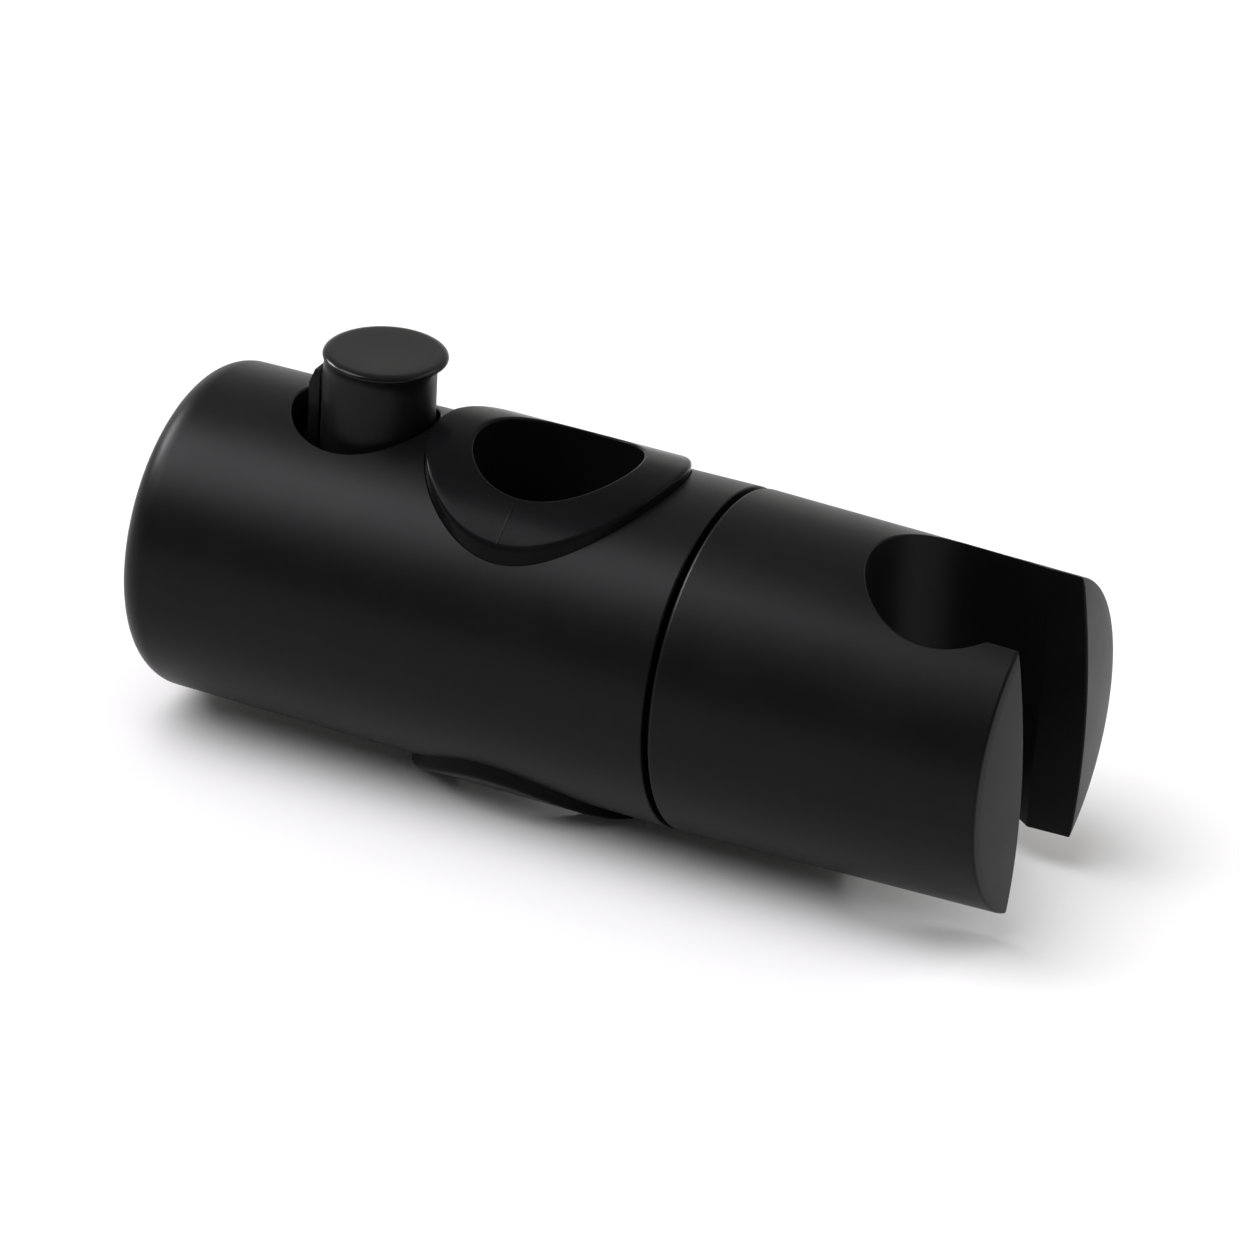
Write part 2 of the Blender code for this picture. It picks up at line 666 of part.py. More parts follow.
def ring(name, inner, outer, low, high, steps, material):
    """A flat washer about the X axis."""
    profile = [(inner, low), (inner, high), (outer, high), (outer, low)]
    return finish(turned(name, profile, steps, True), material)


def o_ring(material, parent):
    """The rubber ring in the spigot's groove, which drags lightly on the barrel's bore."""
    half = O_RING_THICKNESS / 2
    centre = (SPIGOT_RADIUS - O_RING_SQUEEZE + FIT_GAP + half, O_RING_X)
    profile = arc(centre, half, 360, 0, 6)[:-1]
    return finish(turned("pivot_o_ring", profile, RING_STEPS, True), material, parent)


def screw_cap(material, parent):
    """The push-in cap over the pivot screw, at the bottom of the handset socket."""
    radius = COUNTERBORE_RADIUS - FIT_GAP
    high = SCREW_CAP_X + SCREW_CAP_THICKNESS
    chamfer = 0.0003
    profile = [
        (0.0, high),
        (radius - chamfer, high),
        (radius, high - chamfer),
        (radius, SCREW_CAP_X),
        (0.0, SCREW_CAP_X),
    ]
    return finish(turned("screw_cap", profile, SMALL_STEPS), material, parent)


def handset_fork(material, parent):
    """The barrel's open half: a tapered socket with a slot for the hose, on a spigot."""
    pocket_outer = SPIGOT_RADIUS - SPIGOT_WALL
    groove = O_RING_THICKNESS / 2 + FIT_GAP
    dome = [(COUNTERBORE_RADIUS, END_DOME)]
    for share in (0.45, 0.65, 0.85):
        dome.append((FORK_END_RADIUS * share, END_DOME * (1 - share**2)))
    profile = [
        (SCREW_HOLE_RADIUS, HUB_RECESS_X),
        (SCREW_HOLE_RADIUS, SPRING_SEAT_X),
        (COUNTERBORE_RADIUS, SPRING_SEAT_X),
    ]
    profile += [(r, FORK_RIM_X + rise) for r, rise in dome]
    rim = (FORK_END_RADIUS - FORK_END_FILLET, FORK_RIM_X - FORK_END_FILLET)
    profile += arc(rim, FORK_END_FILLET, 80, 0, 2)
    shoulder = (SEAM_RADIUS - SEAM_FILLET, SHOULDER_X + SEAM_FILLET)
    profile += arc(shoulder, SEAM_FILLET, 0, -90, 1)
    profile += [
        (SPIGOT_RADIUS, SHOULDER_X),
        (SPIGOT_RADIUS, O_RING_X + groove),
        (GROOVE_RADIUS, O_RING_X + groove),
        (GROOVE_RADIUS, O_RING_X - groove),
        (SPIGOT_RADIUS, O_RING_X - groove),
        (SPIGOT_RADIUS, SPIGOT_X + SPIGOT_CHAMFER),
        (SPIGOT_RADIUS - SPIGOT_CHAMFER, SPIGOT_X),
        (pocket_outer, SPIGOT_X),
        (pocket_outer, FORK_POCKET_FLOOR),
        (HUB_RADIUS, FORK_POCKET_FLOOR),
        (HUB_RADIUS, SPIGOT_X),
        (HUB_RECESS_RADIUS, SPIGOT_X),
        (HUB_RECESS_RADIUS, HUB_RECESS_X),
    ]
    fork = turned("handset_fork", profile, BARREL_STEPS, True)
    reach = 1.3 * SEAM_RADIUS
    slope = (SOCKET_TOP_RADIUS - SOCKET_BOTTOM_RADIUS) / (2 * SEAM_RADIUS)
    middle = (SOCKET_TOP_RADIUS + SOCKET_BOTTOM_RADIUS) / 2
    socket = rod(
        "handset_socket",
        middle - slope * reach,
        (SOCKET_FROM_RAIL, 0, -reach),
        (SOCKET_FROM_RAIL, 0, reach),
        RING_STEPS,
        middle + slope * reach,
    )
    slot = block(
        "hose_slot",
        (SOCKET_FROM_RAIL, -SLOT_WIDTH / 2, -reach),
        (FORK_RIM_X + 2 * END_DOME + 0.002, SLOT_WIDTH / 2, reach),
    )
    cut(fork, socket, slot)
    socket.parent = parent
    slot.parent = parent
    return finish(fork, material, parent)


def main():
    clear_scene()
    matte = make_material("matte_black_abs", (0.018, 0.018, 0.019), 0.46)
    collar_black = make_material("satin_black_abs", (0.022, 0.022, 0.023), 0.34)
    gloss = make_material("gloss_black_abs", (0.012, 0.012, 0.013), 0.12)
    acetal = make_material("grey_acetal", (0.05, 0.05, 0.053), 0.45)
    rubber = make_material("black_rubber", (0.02, 0.02, 0.02), 0.75)
    steel = make_material("stainless_steel", (0.62, 0.61, 0.59), 0.28, 1.0)

    clamp = add_object("clamp_slide_axis", None)
    fork_axis = add_object("fork_tilt_axis", None)
    fork_axis.location.x = SEAM_X
    fork_axis.rotation_euler.x = radians(FORK_TILT)
    bpy.context.view_layer.update()

    body_shell(matte)
    rail_collar("upper_rail_collar", 1, collar_black)
    rail_collar("lower_rail_collar", -1, collar_black)
    pivot_plate(acetal)
    plate_screw("plate_screw_front", -1, steel)
    plate_screw("plate_screw_rear", 1, steel)
    ring(
        "friction_washer", HUB_RECESS_RADIUS + FIT_GAP, SPIGOT_RADIUS - 0.001,
        FRICTION_X, FRICTION_X + FRICTION_THICKNESS, RING_STEPS, acetal,
    )
    pivot_screw(steel)
    ring(
        "pivot_washer", SCREW_HOLE_RADIUS, WASHER_RADIUS,
        WASHER_X, WASHER_X + WASHER_THICKNESS, SMALL_STEPS, steel,
    )
    finish(
        coil("pivot_spring", PIVOT_SPRING_X, PIVOT_SPRING_LENGTH, PIVOT_COIL_RADIUS,
             PIVOT_WIRE_RADIUS, PIVOT_COILS),
        steel,
    )
    spring_left = BODY_BACK + FIT_GAP
    finish(
        coil("clamp_spring", spring_left, SPRING_POCKET_X - FIT_GAP - spring_left,
             CLAMP_COIL_RADIUS, CLAMP_WIRE_RADIUS, CLAMP_COILS),
        steel,
    )
    clamp_carriage(acetal, clamp)
    clamp_pad(rubber, clamp)
    release_button(gloss, clamp)
    handset_fork(matte, fork_axis)
    o_ring(rubber, fork_axis)
    screw_cap(matte, fork_axis)
    for obj in list(fork_axis.children):
        obj.matrix_parent_inverse.translation.x = -SEAM_X


main()
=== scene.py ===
"""Looks of the shower rail slider: finely rounded mouldings, materials, studio and camera.

Metres, in the CAD's frame: the rail runs along Z through the origin and the barrel along X.
"""

from math import asin, cos, pi, radians, sin, sqrt

import bmesh
import bpy
from mathutils import Matrix, Vector


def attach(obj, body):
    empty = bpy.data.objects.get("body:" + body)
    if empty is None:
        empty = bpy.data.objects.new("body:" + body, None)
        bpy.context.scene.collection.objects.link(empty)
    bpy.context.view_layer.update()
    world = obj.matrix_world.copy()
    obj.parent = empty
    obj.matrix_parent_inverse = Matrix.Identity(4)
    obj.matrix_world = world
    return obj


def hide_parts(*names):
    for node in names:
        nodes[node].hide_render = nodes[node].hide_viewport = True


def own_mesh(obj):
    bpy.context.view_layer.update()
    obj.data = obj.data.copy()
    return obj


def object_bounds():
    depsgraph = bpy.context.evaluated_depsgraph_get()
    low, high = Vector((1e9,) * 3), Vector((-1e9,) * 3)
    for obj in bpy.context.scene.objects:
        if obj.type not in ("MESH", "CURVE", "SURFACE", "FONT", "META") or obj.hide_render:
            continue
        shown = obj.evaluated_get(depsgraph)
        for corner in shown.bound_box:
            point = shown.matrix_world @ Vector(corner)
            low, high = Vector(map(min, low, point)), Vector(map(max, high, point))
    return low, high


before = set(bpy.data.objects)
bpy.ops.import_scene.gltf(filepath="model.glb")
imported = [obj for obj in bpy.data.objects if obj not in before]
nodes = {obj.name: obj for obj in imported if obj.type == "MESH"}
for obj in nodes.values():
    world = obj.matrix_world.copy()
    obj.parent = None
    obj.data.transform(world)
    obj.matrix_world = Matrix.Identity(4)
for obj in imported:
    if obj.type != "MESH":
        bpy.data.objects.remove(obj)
cad_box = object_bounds()

# Clearances
FIT_GAP = 0.0003
SLIDE_GAP = 0.0005

# Barrel, body half
SEAM_RADIUS = 0.0200
BODY_DRAFT = 0.00063
SEAM_X = 0.0216
BODY_LENGTH = 0.0680
SEAM_GAP = 0.0006
BARREL_WALL = 0.0027
END_WALL = 0.0025
END_FILLET = 0.0038
END_CENTRE = 0.0020  # radius of the end wall's innermost ring of points
BORE_CHAMFER = 0.0010
SEAM_FILLET = 0.0002
SHOULDER_FILLET = 0.00065
SPRING_BOSS_LENGTH = 0.0060

# Rail collars
RAIL_BORE_RADIUS = 0.00965
COLLAR_WALL = 0.00195
FLANGE_LIP = 0.0054
FLANGE_PROUD = 0.0011
FLANGE_SEAT_DEPTH = 0.0008
FLANGE_SIDE_GAP = 0.0001
FLANGE_FILLET = 0.0004
SLEEVE_RING = 0.0080  # height of a ring of points on the sleeve
WITNESS_START = 0.0020
WITNESS_HEIGHT = 0.00004
WITNESS_ANGLES = (-0.026, -0.013, 0.0, 0.004, 0.010)  # columns of points at the line, radians
WITNESS_ROOM = 0.034  # no other columns this near to it

# Release button
BUTTON_X = -0.02232
BUTTON_STAND = 0.00734
CAP_RADIUS = 0.0072
CAP_HEIGHT = 0.0007
CAP_DISH = 0.00006
CAP_CENTRE = 0.0010  # radius of the flat in the dish
CAP_LIP = 0.0010
CAP_LIP_HEIGHT = 0.0005
CAP_FOOT_FILLET = 0.0001
CAP_UNDERCUT = 0.00028
CAP_NECK = (0.00005, 0.00012)  # in and down from the undercut
CAP_CONE = 0.0014
CONE_SHARES = (0.17, 0.33, 0.5, 0.67, 0.83)
CAP_OFFSET = 0.00062
STEM_RADIUS = 0.0066
STEM_TAPER = 0.00008
STEM_CHAMFER = 0.0003
STEM_WELL = 0.0035
STEM_SIDE_GAP = 0.0003
WELL_FLARE = 0.0003  # rounding of the well's edge
WELL_STRAIGHT = 0.0150  # height to which its wall is straight
PEG_RADIUS = 0.0050
PEG_LENGTH = 0.0040
PEG_CHAMFER = 0.0005

# Clamp
CLAMP_TRAVEL = 0.0016
PAD_PROUD = 0.00075
PAD_THICKNESS = 0.0022
PAD_HALF_WIDTH = 0.0063
PAD_HALF_HEIGHT = 0.0069
PAD_PEG_RADIUS = 0.0020
PAD_PEG_LENGTH = 0.0030
PAD_GROOVES = 7
PAD_GROOVE_PITCH = 0.0019
PAD_GROOVE_DEPTH = 0.00045
PAD_GROOVE_HALF = 0.0004
PAD_GROOVE_FLOOR = 0.0002  # half the floor's width
PAD_GROOVE_SLOPE = 0.0003
NOSE_MARGIN = 0.0001
CARRIAGE_TOP_GAP = 0.0053
CARRIAGE_GUIDE = 0.0025
CARRIAGE_HALF = 0.0090
RIB_THICKNESS = 0.0044
RIB_WIDTH = 0.00166
RIB_NECK = 0.0010
RIB_NECK_DROP = 0.0018
RIB_BELOW_CAP = 0.0034
RIB_LEDGE = 0.0005
RIB_REACH = 0.0007
RIB_TIP = 0.0003
RIB_SHOULDER = 0.0007
RIB_ROOT = 0.0020
RIB_BACK_GAP = 0.00003
RIB_EDGE = 0.00012
CLAMP_COIL_RADIUS = 0.0049
CLAMP_WIRE_RADIUS = 0.0006
SPRING_POCKET_DEPTH = 0.0050

# Pivot
PLATE_SCREW_OFFSET = 0.0140
PLATE_SCREW_RADIUS = 0.0013
SCREW_POST_RADIUS = 0.0036
SCREW_POST_LEFT = 0.0060
SCREW_POST_RIGHT = 0.0123
SCREW_POST_FLOOR = 0.0008
SPIGOT_X = 0.0172
HUB_RECESS_X = 0.0213
SPRING_SEAT_X = 0.0300
SCREW_HOLE_RADIUS = 0.0023
COUNTERBORE_RADIUS = 0.0048
HUB_RADIUS = 0.0070
HUB_RECESS_RADIUS = 0.0048
O_RING_X = 0.01912
GROOVE_HALF = 0.00085
GROOVE_DEPTH = 0.0014
SCREW_CAP_X = 0.0373
SCREW_CAP_THICKNESS = 0.0022
SCREW_CAP_FILLET = 0.0003
COIN_SLOT_DEPTH = 0.0005
COIN_SLOT_HALF_WIDTH = 0.0005
COIN_SLOT_HALF_LENGTH = 0.0028

# Handset fork
FORK_LENGTH = 0.03996
FORK_DRAFT = 0.00069
FORK_END_FILLET = 0.0004
END_DOME = 0.00148
DOME_EDGE_ANGLE = 84  # where the end's fillet takes over from the dome, degrees
FORK_TILT = 4.2  # degrees
SOCKET_X = 0.0510
SOCKET_TOP_RADIUS = 0.0111
SOCKET_BOTTOM_RADIUS = 0.0102
SLOT_HALF = 0.008835
SLOT_CORNER = 0.0008  # rounding where the slot leaves the socket
SPIGOT_WALL = 0.0028
SPIGOT_CHAMFER = 0.0004
FORK_POCKET_FLOOR = 0.0360
KEYHOLE_STRAIGHT = 0.0140  # height to which the socket's wall is straight

EDGE = 0.00022  # rounding of the keyhole's edges

# Facets: points round a form, and the spacing of points along it
BARREL_STEPS = 160
RING_STEPS = 144
STEP_SHIFT = 0.37  # keeps points off the planes of symmetry, where cuts would meet edges
GUIDE_STEPS = 96
DOME_STEPS = 15
LIP_STEPS = 8
SOCKET_STEPS = 48
KEYHOLE_STEPS = 8  # on its corner, and on its cheek
WALL_STEPS = 8
LONG_STEP = 0.008
BARREL_STEP = 0.003
FLANGE_STEP = 0.0006
CAP_STEP = 0.0013
STEM_STEP = 0.0012
CHEEK_STEP = 0.001

# Cutters
PAST = 0.002  # how far a cutter reaches past the surface that it cuts
OUTSIDE = 0.030  # outside the barrel on every side of the rail
FLARE_ANGLES = (0, 22, 45, 68)
FLARE_PROUD = 0.00015
DRAPE_LEVEL = 0.0175  # height at which a hole's outline is laid on the barrel
SLOT_REACH = 0.070  # past the fork's end
CHEEK_REACH = 0.026
CHEEK_DEPTH = 0.0012
CHEEK_SUNK = 0.0001  # into the slot's wall
CHEEK_INNER = 0.0006  # into the slot

# Tolerances
SAME_POINT = 3e-7
ON_BARREL = 2e-5
ON_DOME = 3e-5
ON_AXIS = 1e-7

# Camera, fitted to the photo
CAMERA_LENS = 231.258  # millimetres, on a 36 mm sensor
CAMERA_PLACE = (0.345471, -0.730184, 0.414836)
CAMERA_RIGHT = (0.89593734, 0.44137134, 0.04987599)
CAMERA_UP = (-0.2421029, 0.39110501, 0.8879319)
CAMERA_BACK = (0.37240094, -0.80760647, 0.45726286)

# Materials
NOISE_LOW, NOISE_HIGH = 0.3, 0.7  # noise seldom leaves this span
POLISH_FADE = 0.0003  # height under the cap over which its polish ends
STEM_ROUGHER = 0.24  # roughness that the stem has over the cap

# Light
WORLD_FRONT = 0.14
WORLD_BACK = 0.72
WORLD_REACH = 0.7  # how far to the front and the back the room's light changes
FLOOR_HALF = 4.0

# Sizes that follow
BODY_END_RADIUS = SEAM_RADIUS - BODY_DRAFT
FORK_END_RADIUS = SEAM_RADIUS - FORK_DRAFT
BODY_BORE_RADIUS = SEAM_RADIUS - BARREL_WALL
SPIGOT_RADIUS = BODY_BORE_RADIUS - FIT_GAP
BODY_RIGHT = SEAM_X - SEAM_GAP / 2
BODY_LEFT = SEAM_X - BODY_LENGTH
BODY_BACK = BODY_LEFT + END_WALL
SHOULDER_X = SEAM_X + SEAM_GAP / 2
FORK_RIM_X = SEAM_X + FORK_LENGTH
COLLAR_RADIUS = RAIL_BORE_RADIUS + COLLAR_WALL
FLANGE_RADIUS = RAIL_BORE_RADIUS + FLANGE_LIP
FLANGE_SADDLE = SEAM_RADIUS + FLANGE_PROUD
SEAT_SADDLE = SEAM_RADIUS - FLANGE_SEAT_DEPTH
BUTTON_TOP = SEAM_RADIUS + BUTTON_STAND
CAP_FOOT = BUTTON_TOP - CAP_HEIGHT
STEM_X = BUTTON_X - CAP_OFFSET
WELL_LEFT = STEM_X - STEM_RADIUS - STEM_WELL
WELL_RIGHT = STEM_X + STEM_RADIUS + STEM_SIDE_GAP
WELL_X = (WELL_LEFT + WELL_RIGHT) / 2
WELL_RADIUS = (WELL_RIGHT - WELL_LEFT) / 2
CARRIAGE_TOP = BODY_BORE_RADIUS - CARRIAGE_TOP_GAP
CARRIAGE_FRONT = -(COLLAR_RADIUS + FIT_GAP)
CARRIAGE_BACK = STEM_X - STEM_RADIUS - FIT_GAP - RIB_WIDTH
CARRIAGE_RADIUS = BODY_BORE_RADIUS - FIT_GAP
PAD_FACE_X = -(RAIL_BORE_RADIUS - PAD_PROUD)
PAD_BACK_X = PAD_FACE_X - PAD_THICKNESS
NOSE_FACE_X = PAD_BACK_X - FIT_GAP
NOSE_HALF_WIDTH = PAD_HALF_WIDTH + NOSE_MARGIN
NOSE_HALF_HEIGHT = PAD_HALF_HEIGHT + NOSE_MARGIN


# ---------------------------------------------------------------- shapes


def add(name, mesh):
    """A new object in the scene."""
    obj = bpy.data.objects.new(name, mesh)
    bpy.context.scene.collection.objects.link(obj)
    return obj


def solid(name, verts, faces):
    """An object from points and faces, with its normals turned outwards."""
    mesh = bpy.data.meshes.new(name)
    mesh.from_pydata(verts, [], faces)
    form = bmesh.new()
    form.from_mesh(mesh)
    bmesh.ops.recalc_face_normals(form, faces=form.faces)
    form.to_mesh(mesh)
    form.free()
    return add(name, mesh)


def arc(centre, radius, start, end, count):
    """Points of a round stretch with both its ends; angles in degrees."""
    angles = [radians(start + (end - start) * i / count) for i in range(count + 1)]
    return [(centre[0] + radius * cos(a), centre[1] + radius * sin(a)) for a in angles]


def spaced(start, end, step):
    """Points of a straight stretch, without its two ends."""
    count = max(1, round((Vector(end) - Vector(start)).length / step))
    way = Vector(end) - Vector(start)
    return [tuple(Vector(start) + way * i / count) for i in range(1, count)]


def turned(name, profile, steps, closed=False, along_x=True, angles=None):
    """A profile of (radius, height) points turned about the X axis, or about Z."""
    if angles is None:
        angles = [2 * pi * (i + STEP_SHIFT) / steps for i in range(steps)]
    steps = len(angles)
    verts, rings = [], []
    for radius, height in profile:
        if radius < ON_AXIS:
            rings.append([len(verts)] * steps)
            verts.append((height, 0, 0) if along_x else (0, 0, height))
            continue
        rings.append(range(len(verts), len(verts) + steps))
        for a in angles:
            flat = (radius * cos(a), radius * sin(a))
            verts.append((height, *flat) if along_x else (*flat, height))
    faces = []
    pairs = list(zip(rings, rings[1:]))
    if closed:
        pairs.append((rings[-1], rings[0]))
    for low, high in pairs:
        for i in range(steps):
            j = (i + 1) % steps
            corners = []
            for corner in (low[i], low[j], high[j], high[i]):
                if corner not in corners:
                    corners.append(corner)
            if len(corners) > 2:
                faces.append(corners)
    return solid(name, verts, faces)


def block(name, low, high):
    """A box between two corners."""
    corners = [(x, y, z) for x in (low[0], high[0]) for y in (low[1], high[1])
               for z in (low[2], high[2])]
    faces = [(0, 1, 3, 2), (4, 6, 7, 5), (0, 4, 5, 1), (2, 3, 7, 6), (0, 2, 6, 4), (1, 5, 7, 3)]
    return solid(name, corners, faces)


def rod(name, radius, start, end, steps=48):
    """A cylinder from start to end, along X, Y or Z."""
    mesh = bpy.data.meshes.new(name)
    start, end = Vector(start), Vector(end)
    way = end - start
    form = bmesh.new()
    bmesh.ops.create_cone(
        form, cap_ends=True, segments=steps, radius1=radius, radius2=radius, depth=way.length
    )
    bmesh.ops.rotate(form, verts=form.verts, matrix=way.to_track_quat("Z", "Y").to_matrix())
    bmesh.ops.translate(form, verts=form.verts, vec=(start + end) / 2)
    form.to_mesh(mesh)
    form.free()
    return add(name, mesh)


def tube(name, rows):
    """A closed solid from rows of points: quads between the rows and a cap at each end."""
    count = len(rows[0])
    verts = [point for row in rows for point in row]
    faces = [list(range(count)), list(range(len(verts) - count, len(verts)))]
    for k in range(len(rows) - 1):
        for i in range(count):
            j = (i + 1) % count
            faces.append([k * count + i, k * count + j, (k + 1) * count + j, (k + 1) * count + i])
    return solid(name, verts, faces)


def bake(obj):
    """Applies the object's modifiers and its transform to its mesh."""
    bpy.context.view_layer.update()
    graph = bpy.context.evaluated_depsgraph_get()
    mesh = bpy.data.meshes.new_from_object(obj.evaluated_get(graph))
    mesh.transform(obj.matrix_world)
    obj.modifiers.clear()
    obj.matrix_world = Matrix.Identity(4)
    obj.data = mesh
    return obj


def carve(obj, operation, *others):
    """Cuts away or joins the other objects, which are used up."""
    for other in others:
        modifier = obj.modifiers.new("Carve", "BOOLEAN")
        modifier.operation = operation
        modifier.solver = "MANIFOLD"
        modifier.object = other
    bake(obj)
    for other in others:
        bpy.data.objects.remove(other, do_unlink=True)
    return obj


def cut(obj, *others):
    """The object without the others."""
    return carve(obj, "DIFFERENCE", *others)


def join(obj, *others):
    """The object and the others as one."""
    return carve(obj, "UNION", *others)


def bevelled(obj, width, angle, segments):
    """Rounds the edges that are sharper than the angle, in degrees."""
    modifier = obj.modifiers.new("Edges", "BEVEL")
    modifier.width = width
    modifier.segments = segments
    modifier.limit_method = "ANGLE"
    modifier.angle_limit = radians(angle)
    return bake(obj)


def barrel_radius(x):
    """The barrel tapers a little from the seam to both its ends."""
    if x < SEAM_X:
        return SEAM_RADIUS + (BODY_END_RADIUS - SEAM_RADIUS) * (SEAM_X - x) / BODY_LENGTH
    return SEAM_RADIUS + (FORK_END_RADIUS - SEAM_RADIUS) * (x - SEAM_X) / FORK_LENGTH


def barrel_height(x, y):
    """Height of the barrel's surface above its middle plane."""
    return sqrt(max(barrel_radius(x) ** 2 - y**2, 1e-8))


def dome_x(y, z):
    """Where the fork's domed end face is."""
    return FORK_RIM_X + END_DOME * (1 - (y * y + z * z) / FORK_END_RADIUS**2)


def drape(obj):
    """Bends what is turned about Z over the barrel; heights stand for radii about X."""
    for vert in obj.data.vertices:
        if vert.co.z > BODY_BORE_RADIUS:
            vert.co.z = sqrt(vert.co.z**2 - vert.co.y**2)
    return obj


def flare(radius):
    """(offset, depth) points of a rounded edge, from the wall up and out of the surface."""
    points = [(radius * (1 - cos(radians(a))), radius * (1 - sin(radians(a))))
              for a in FLARE_ANGLES]
    offset, depth = points[-1]
    slope = radians(FLARE_ANGLES[-1])
    run = (depth + FLARE_PROUD) / cos(slope)
    return points + [(offset + run * sin(slope), -FLARE_PROUD)]


def wall_cutter(name, contour, low, high, rounding, through):
    """A cutter whose wall flares where it leaves the barrel, on top and, if through, below.

    contour(z) gives (x, y, nx, ny): the wall's points at height z and the way into the wall.
    """
    rows = []

    def draped(offset, depth, sign):
        row = []
        for x, y, nx, ny in contour(sign * DRAPE_LEVEL):
            px, py = x + nx * offset, y + ny * offset
            row.append((px, py, sign * (barrel_height(px, py) - depth)))
        return row

    def level(z, offset=0.0):
        return [(x + nx * offset, y + ny * offset, z) for x, y, nx, ny in contour(z)]

    points = flare(rounding)
    if through:
        rows.append(level(-OUTSIDE, points[-1][0]))
        rows += [draped(*point, -1) for point in reversed(points)]
    rows += [level(low + (high - low) * i / WALL_STEPS) for i in range(WALL_STEPS + 1)]
    rows += [draped(*point, 1) for point in points]
    rows.append(level(OUTSIDE, points[-1][0]))
    return tube(name, rows)


def ring_contour(x, radius, steps):
    """A round hole, the same at every height."""
    angles = [2 * pi * (i + 0.5) / steps for i in range(steps)]
    points = [(x + radius * cos(a), radius * sin(a), cos(a), sin(a)) for a in angles]
    return lambda z: points


def keyhole_contour(z):
    """The handset socket with its slot, seen from above at height z."""
    middle = (SOCKET_TOP_RADIUS + SOCKET_BOTTOM_RADIUS) / 2
    slope = (SOCKET_TOP_RADIUS - SOCKET_BOTTOM_RADIUS) / (2 * SEAM_RADIUS)
    radius = middle + slope * z
    corner_y = SLOT_HALF + SLOT_CORNER
    corner_x = SOCKET_X + sqrt((radius + SLOT_CORNER) ** 2 - corner_y**2)
    turn = asin(corner_y / (radius + SLOT_CORNER))
    half = []
    for i in range(SOCKET_STEPS + 1):
        a = turn + (pi - turn) * (1 - i / SOCKET_STEPS)
        half.append((SOCKET_X + radius * cos(a), radius * sin(a), cos(a), sin(a)))
    shares = [i / KEYHOLE_STEPS for i in range(1, KEYHOLE_STEPS + 1)]
    for share in shares:
        a = turn + pi + (pi / 2 - turn) * share
        half.append(
            (corner_x + SLOT_CORNER * cos(a), corner_y + SLOT_CORNER * sin(a), -cos(a), -sin(a))
        )
    for share in shares:
        half.append((corner_x + (SLOT_REACH - corner_x) * share, SLOT_HALF, 0.0, 1.0))
    other = [(x, -y, nx, -ny) for x, y, nx, ny in reversed(half[1:])]
    return half + other


def cheek_cutter(side):
    """Rounds the edge between a slot cheek and the domed end."""
    points = flare(EDGE)
    first = points[0]
    start = (first[0] - CHEEK_SUNK, first[1] + CHEEK_DEPTH)
    outer = side * (SLOT_HALF + points[-1][0])
    inner = side * (SLOT_HALF - CHEEK_INNER)
    count = round(2 * CHEEK_REACH / CHEEK_STEP)
    rows = []
    for i in range(count + 1):
        z = -CHEEK_REACH + CHEEK_STEP * i
        face = dome_x(SLOT_HALF, z)
        row = []
        for offset, depth in [start] + points[1:]:
            y = SLOT_HALF + offset
            row.append((dome_x(y, z) - depth, side * y, z))
        row += [(face + PAST, outer, z), (face + PAST, inner, z), (face - start[1], inner, z)]
        rows.append(row)
    return tube(f"cheek_cutter_{side}", rows)


def smooth(obj, angle=32):
    """Smooth shading with true normals on the barrel's and the dome's own surface."""
    mesh = obj.data
    form = bmesh.new()
    form.from_mesh(mesh)
    bmesh.ops.remove_doubles(form, verts=form.verts, dist=SAME_POINT)
    bmesh.ops.dissolve_degenerate(form, edges=form.edges, dist=SAME_POINT)
    form.to_mesh(mesh)
    form.free()
    mesh.shade_smooth()
    mesh.set_sharp_from_angle(angle=radians(angle))
    body_slope = BODY_DRAFT / BODY_LENGTH
    fork_slope = FORK_DRAFT / FORK_LENGTH
    normals = [(0.0, 0.0, 0.0)] * len(mesh.loops)
    for face in mesh.polygons:
        points = [mesh.vertices[i].co for i in face.vertices]
        centre = face.center
        across = sqrt(centre.y**2 + centre.z**2)
        if across < ON_AXIS:
            continue
        outwards = Vector((0.0, centre.y / across, centre.z / across))
        if face.normal.dot(outwards) > 0.99:
            if all(abs(sqrt(p.y**2 + p.z**2) - barrel_radius(p.x)) < ON_BARREL for p in points):
                slope = -body_slope if centre.x < SEAM_X else fork_slope
                for loop in face.loop_indices:
                    p = mesh.vertices[mesh.loops[loop].vertex_index].co
                    size = sqrt(p.y**2 + p.z**2)
                    normals[loop] = Vector((slope, p.y / size, p.z / size)).normalized()
        elif face.normal.x > 0.95 and all(abs(p.x - dome_x(p.y, p.z)) < ON_DOME for p in points):
            for loop in face.loop_indices:
                p = mesh.vertices[mesh.loops[loop].vertex_index].co
                lean = 2 * END_DOME / FORK_END_RADIUS**2
                normals[loop] = Vector((1.0, lean * p.y, lean * p.z)).normalized()
    mesh.normals_split_custom_set([tuple(n) for n in normals])
    return obj


def dress(obj, material, body, slot, *replaced):
    """Gives a piece its material and its body, in the place of the CAD's nodes."""
    obj.data.materials.clear()
    obj.data.materials.append(material)
    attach(obj, body)
    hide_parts(*replaced)
    return obj


# ---------------------------------------------------------------- mouldings


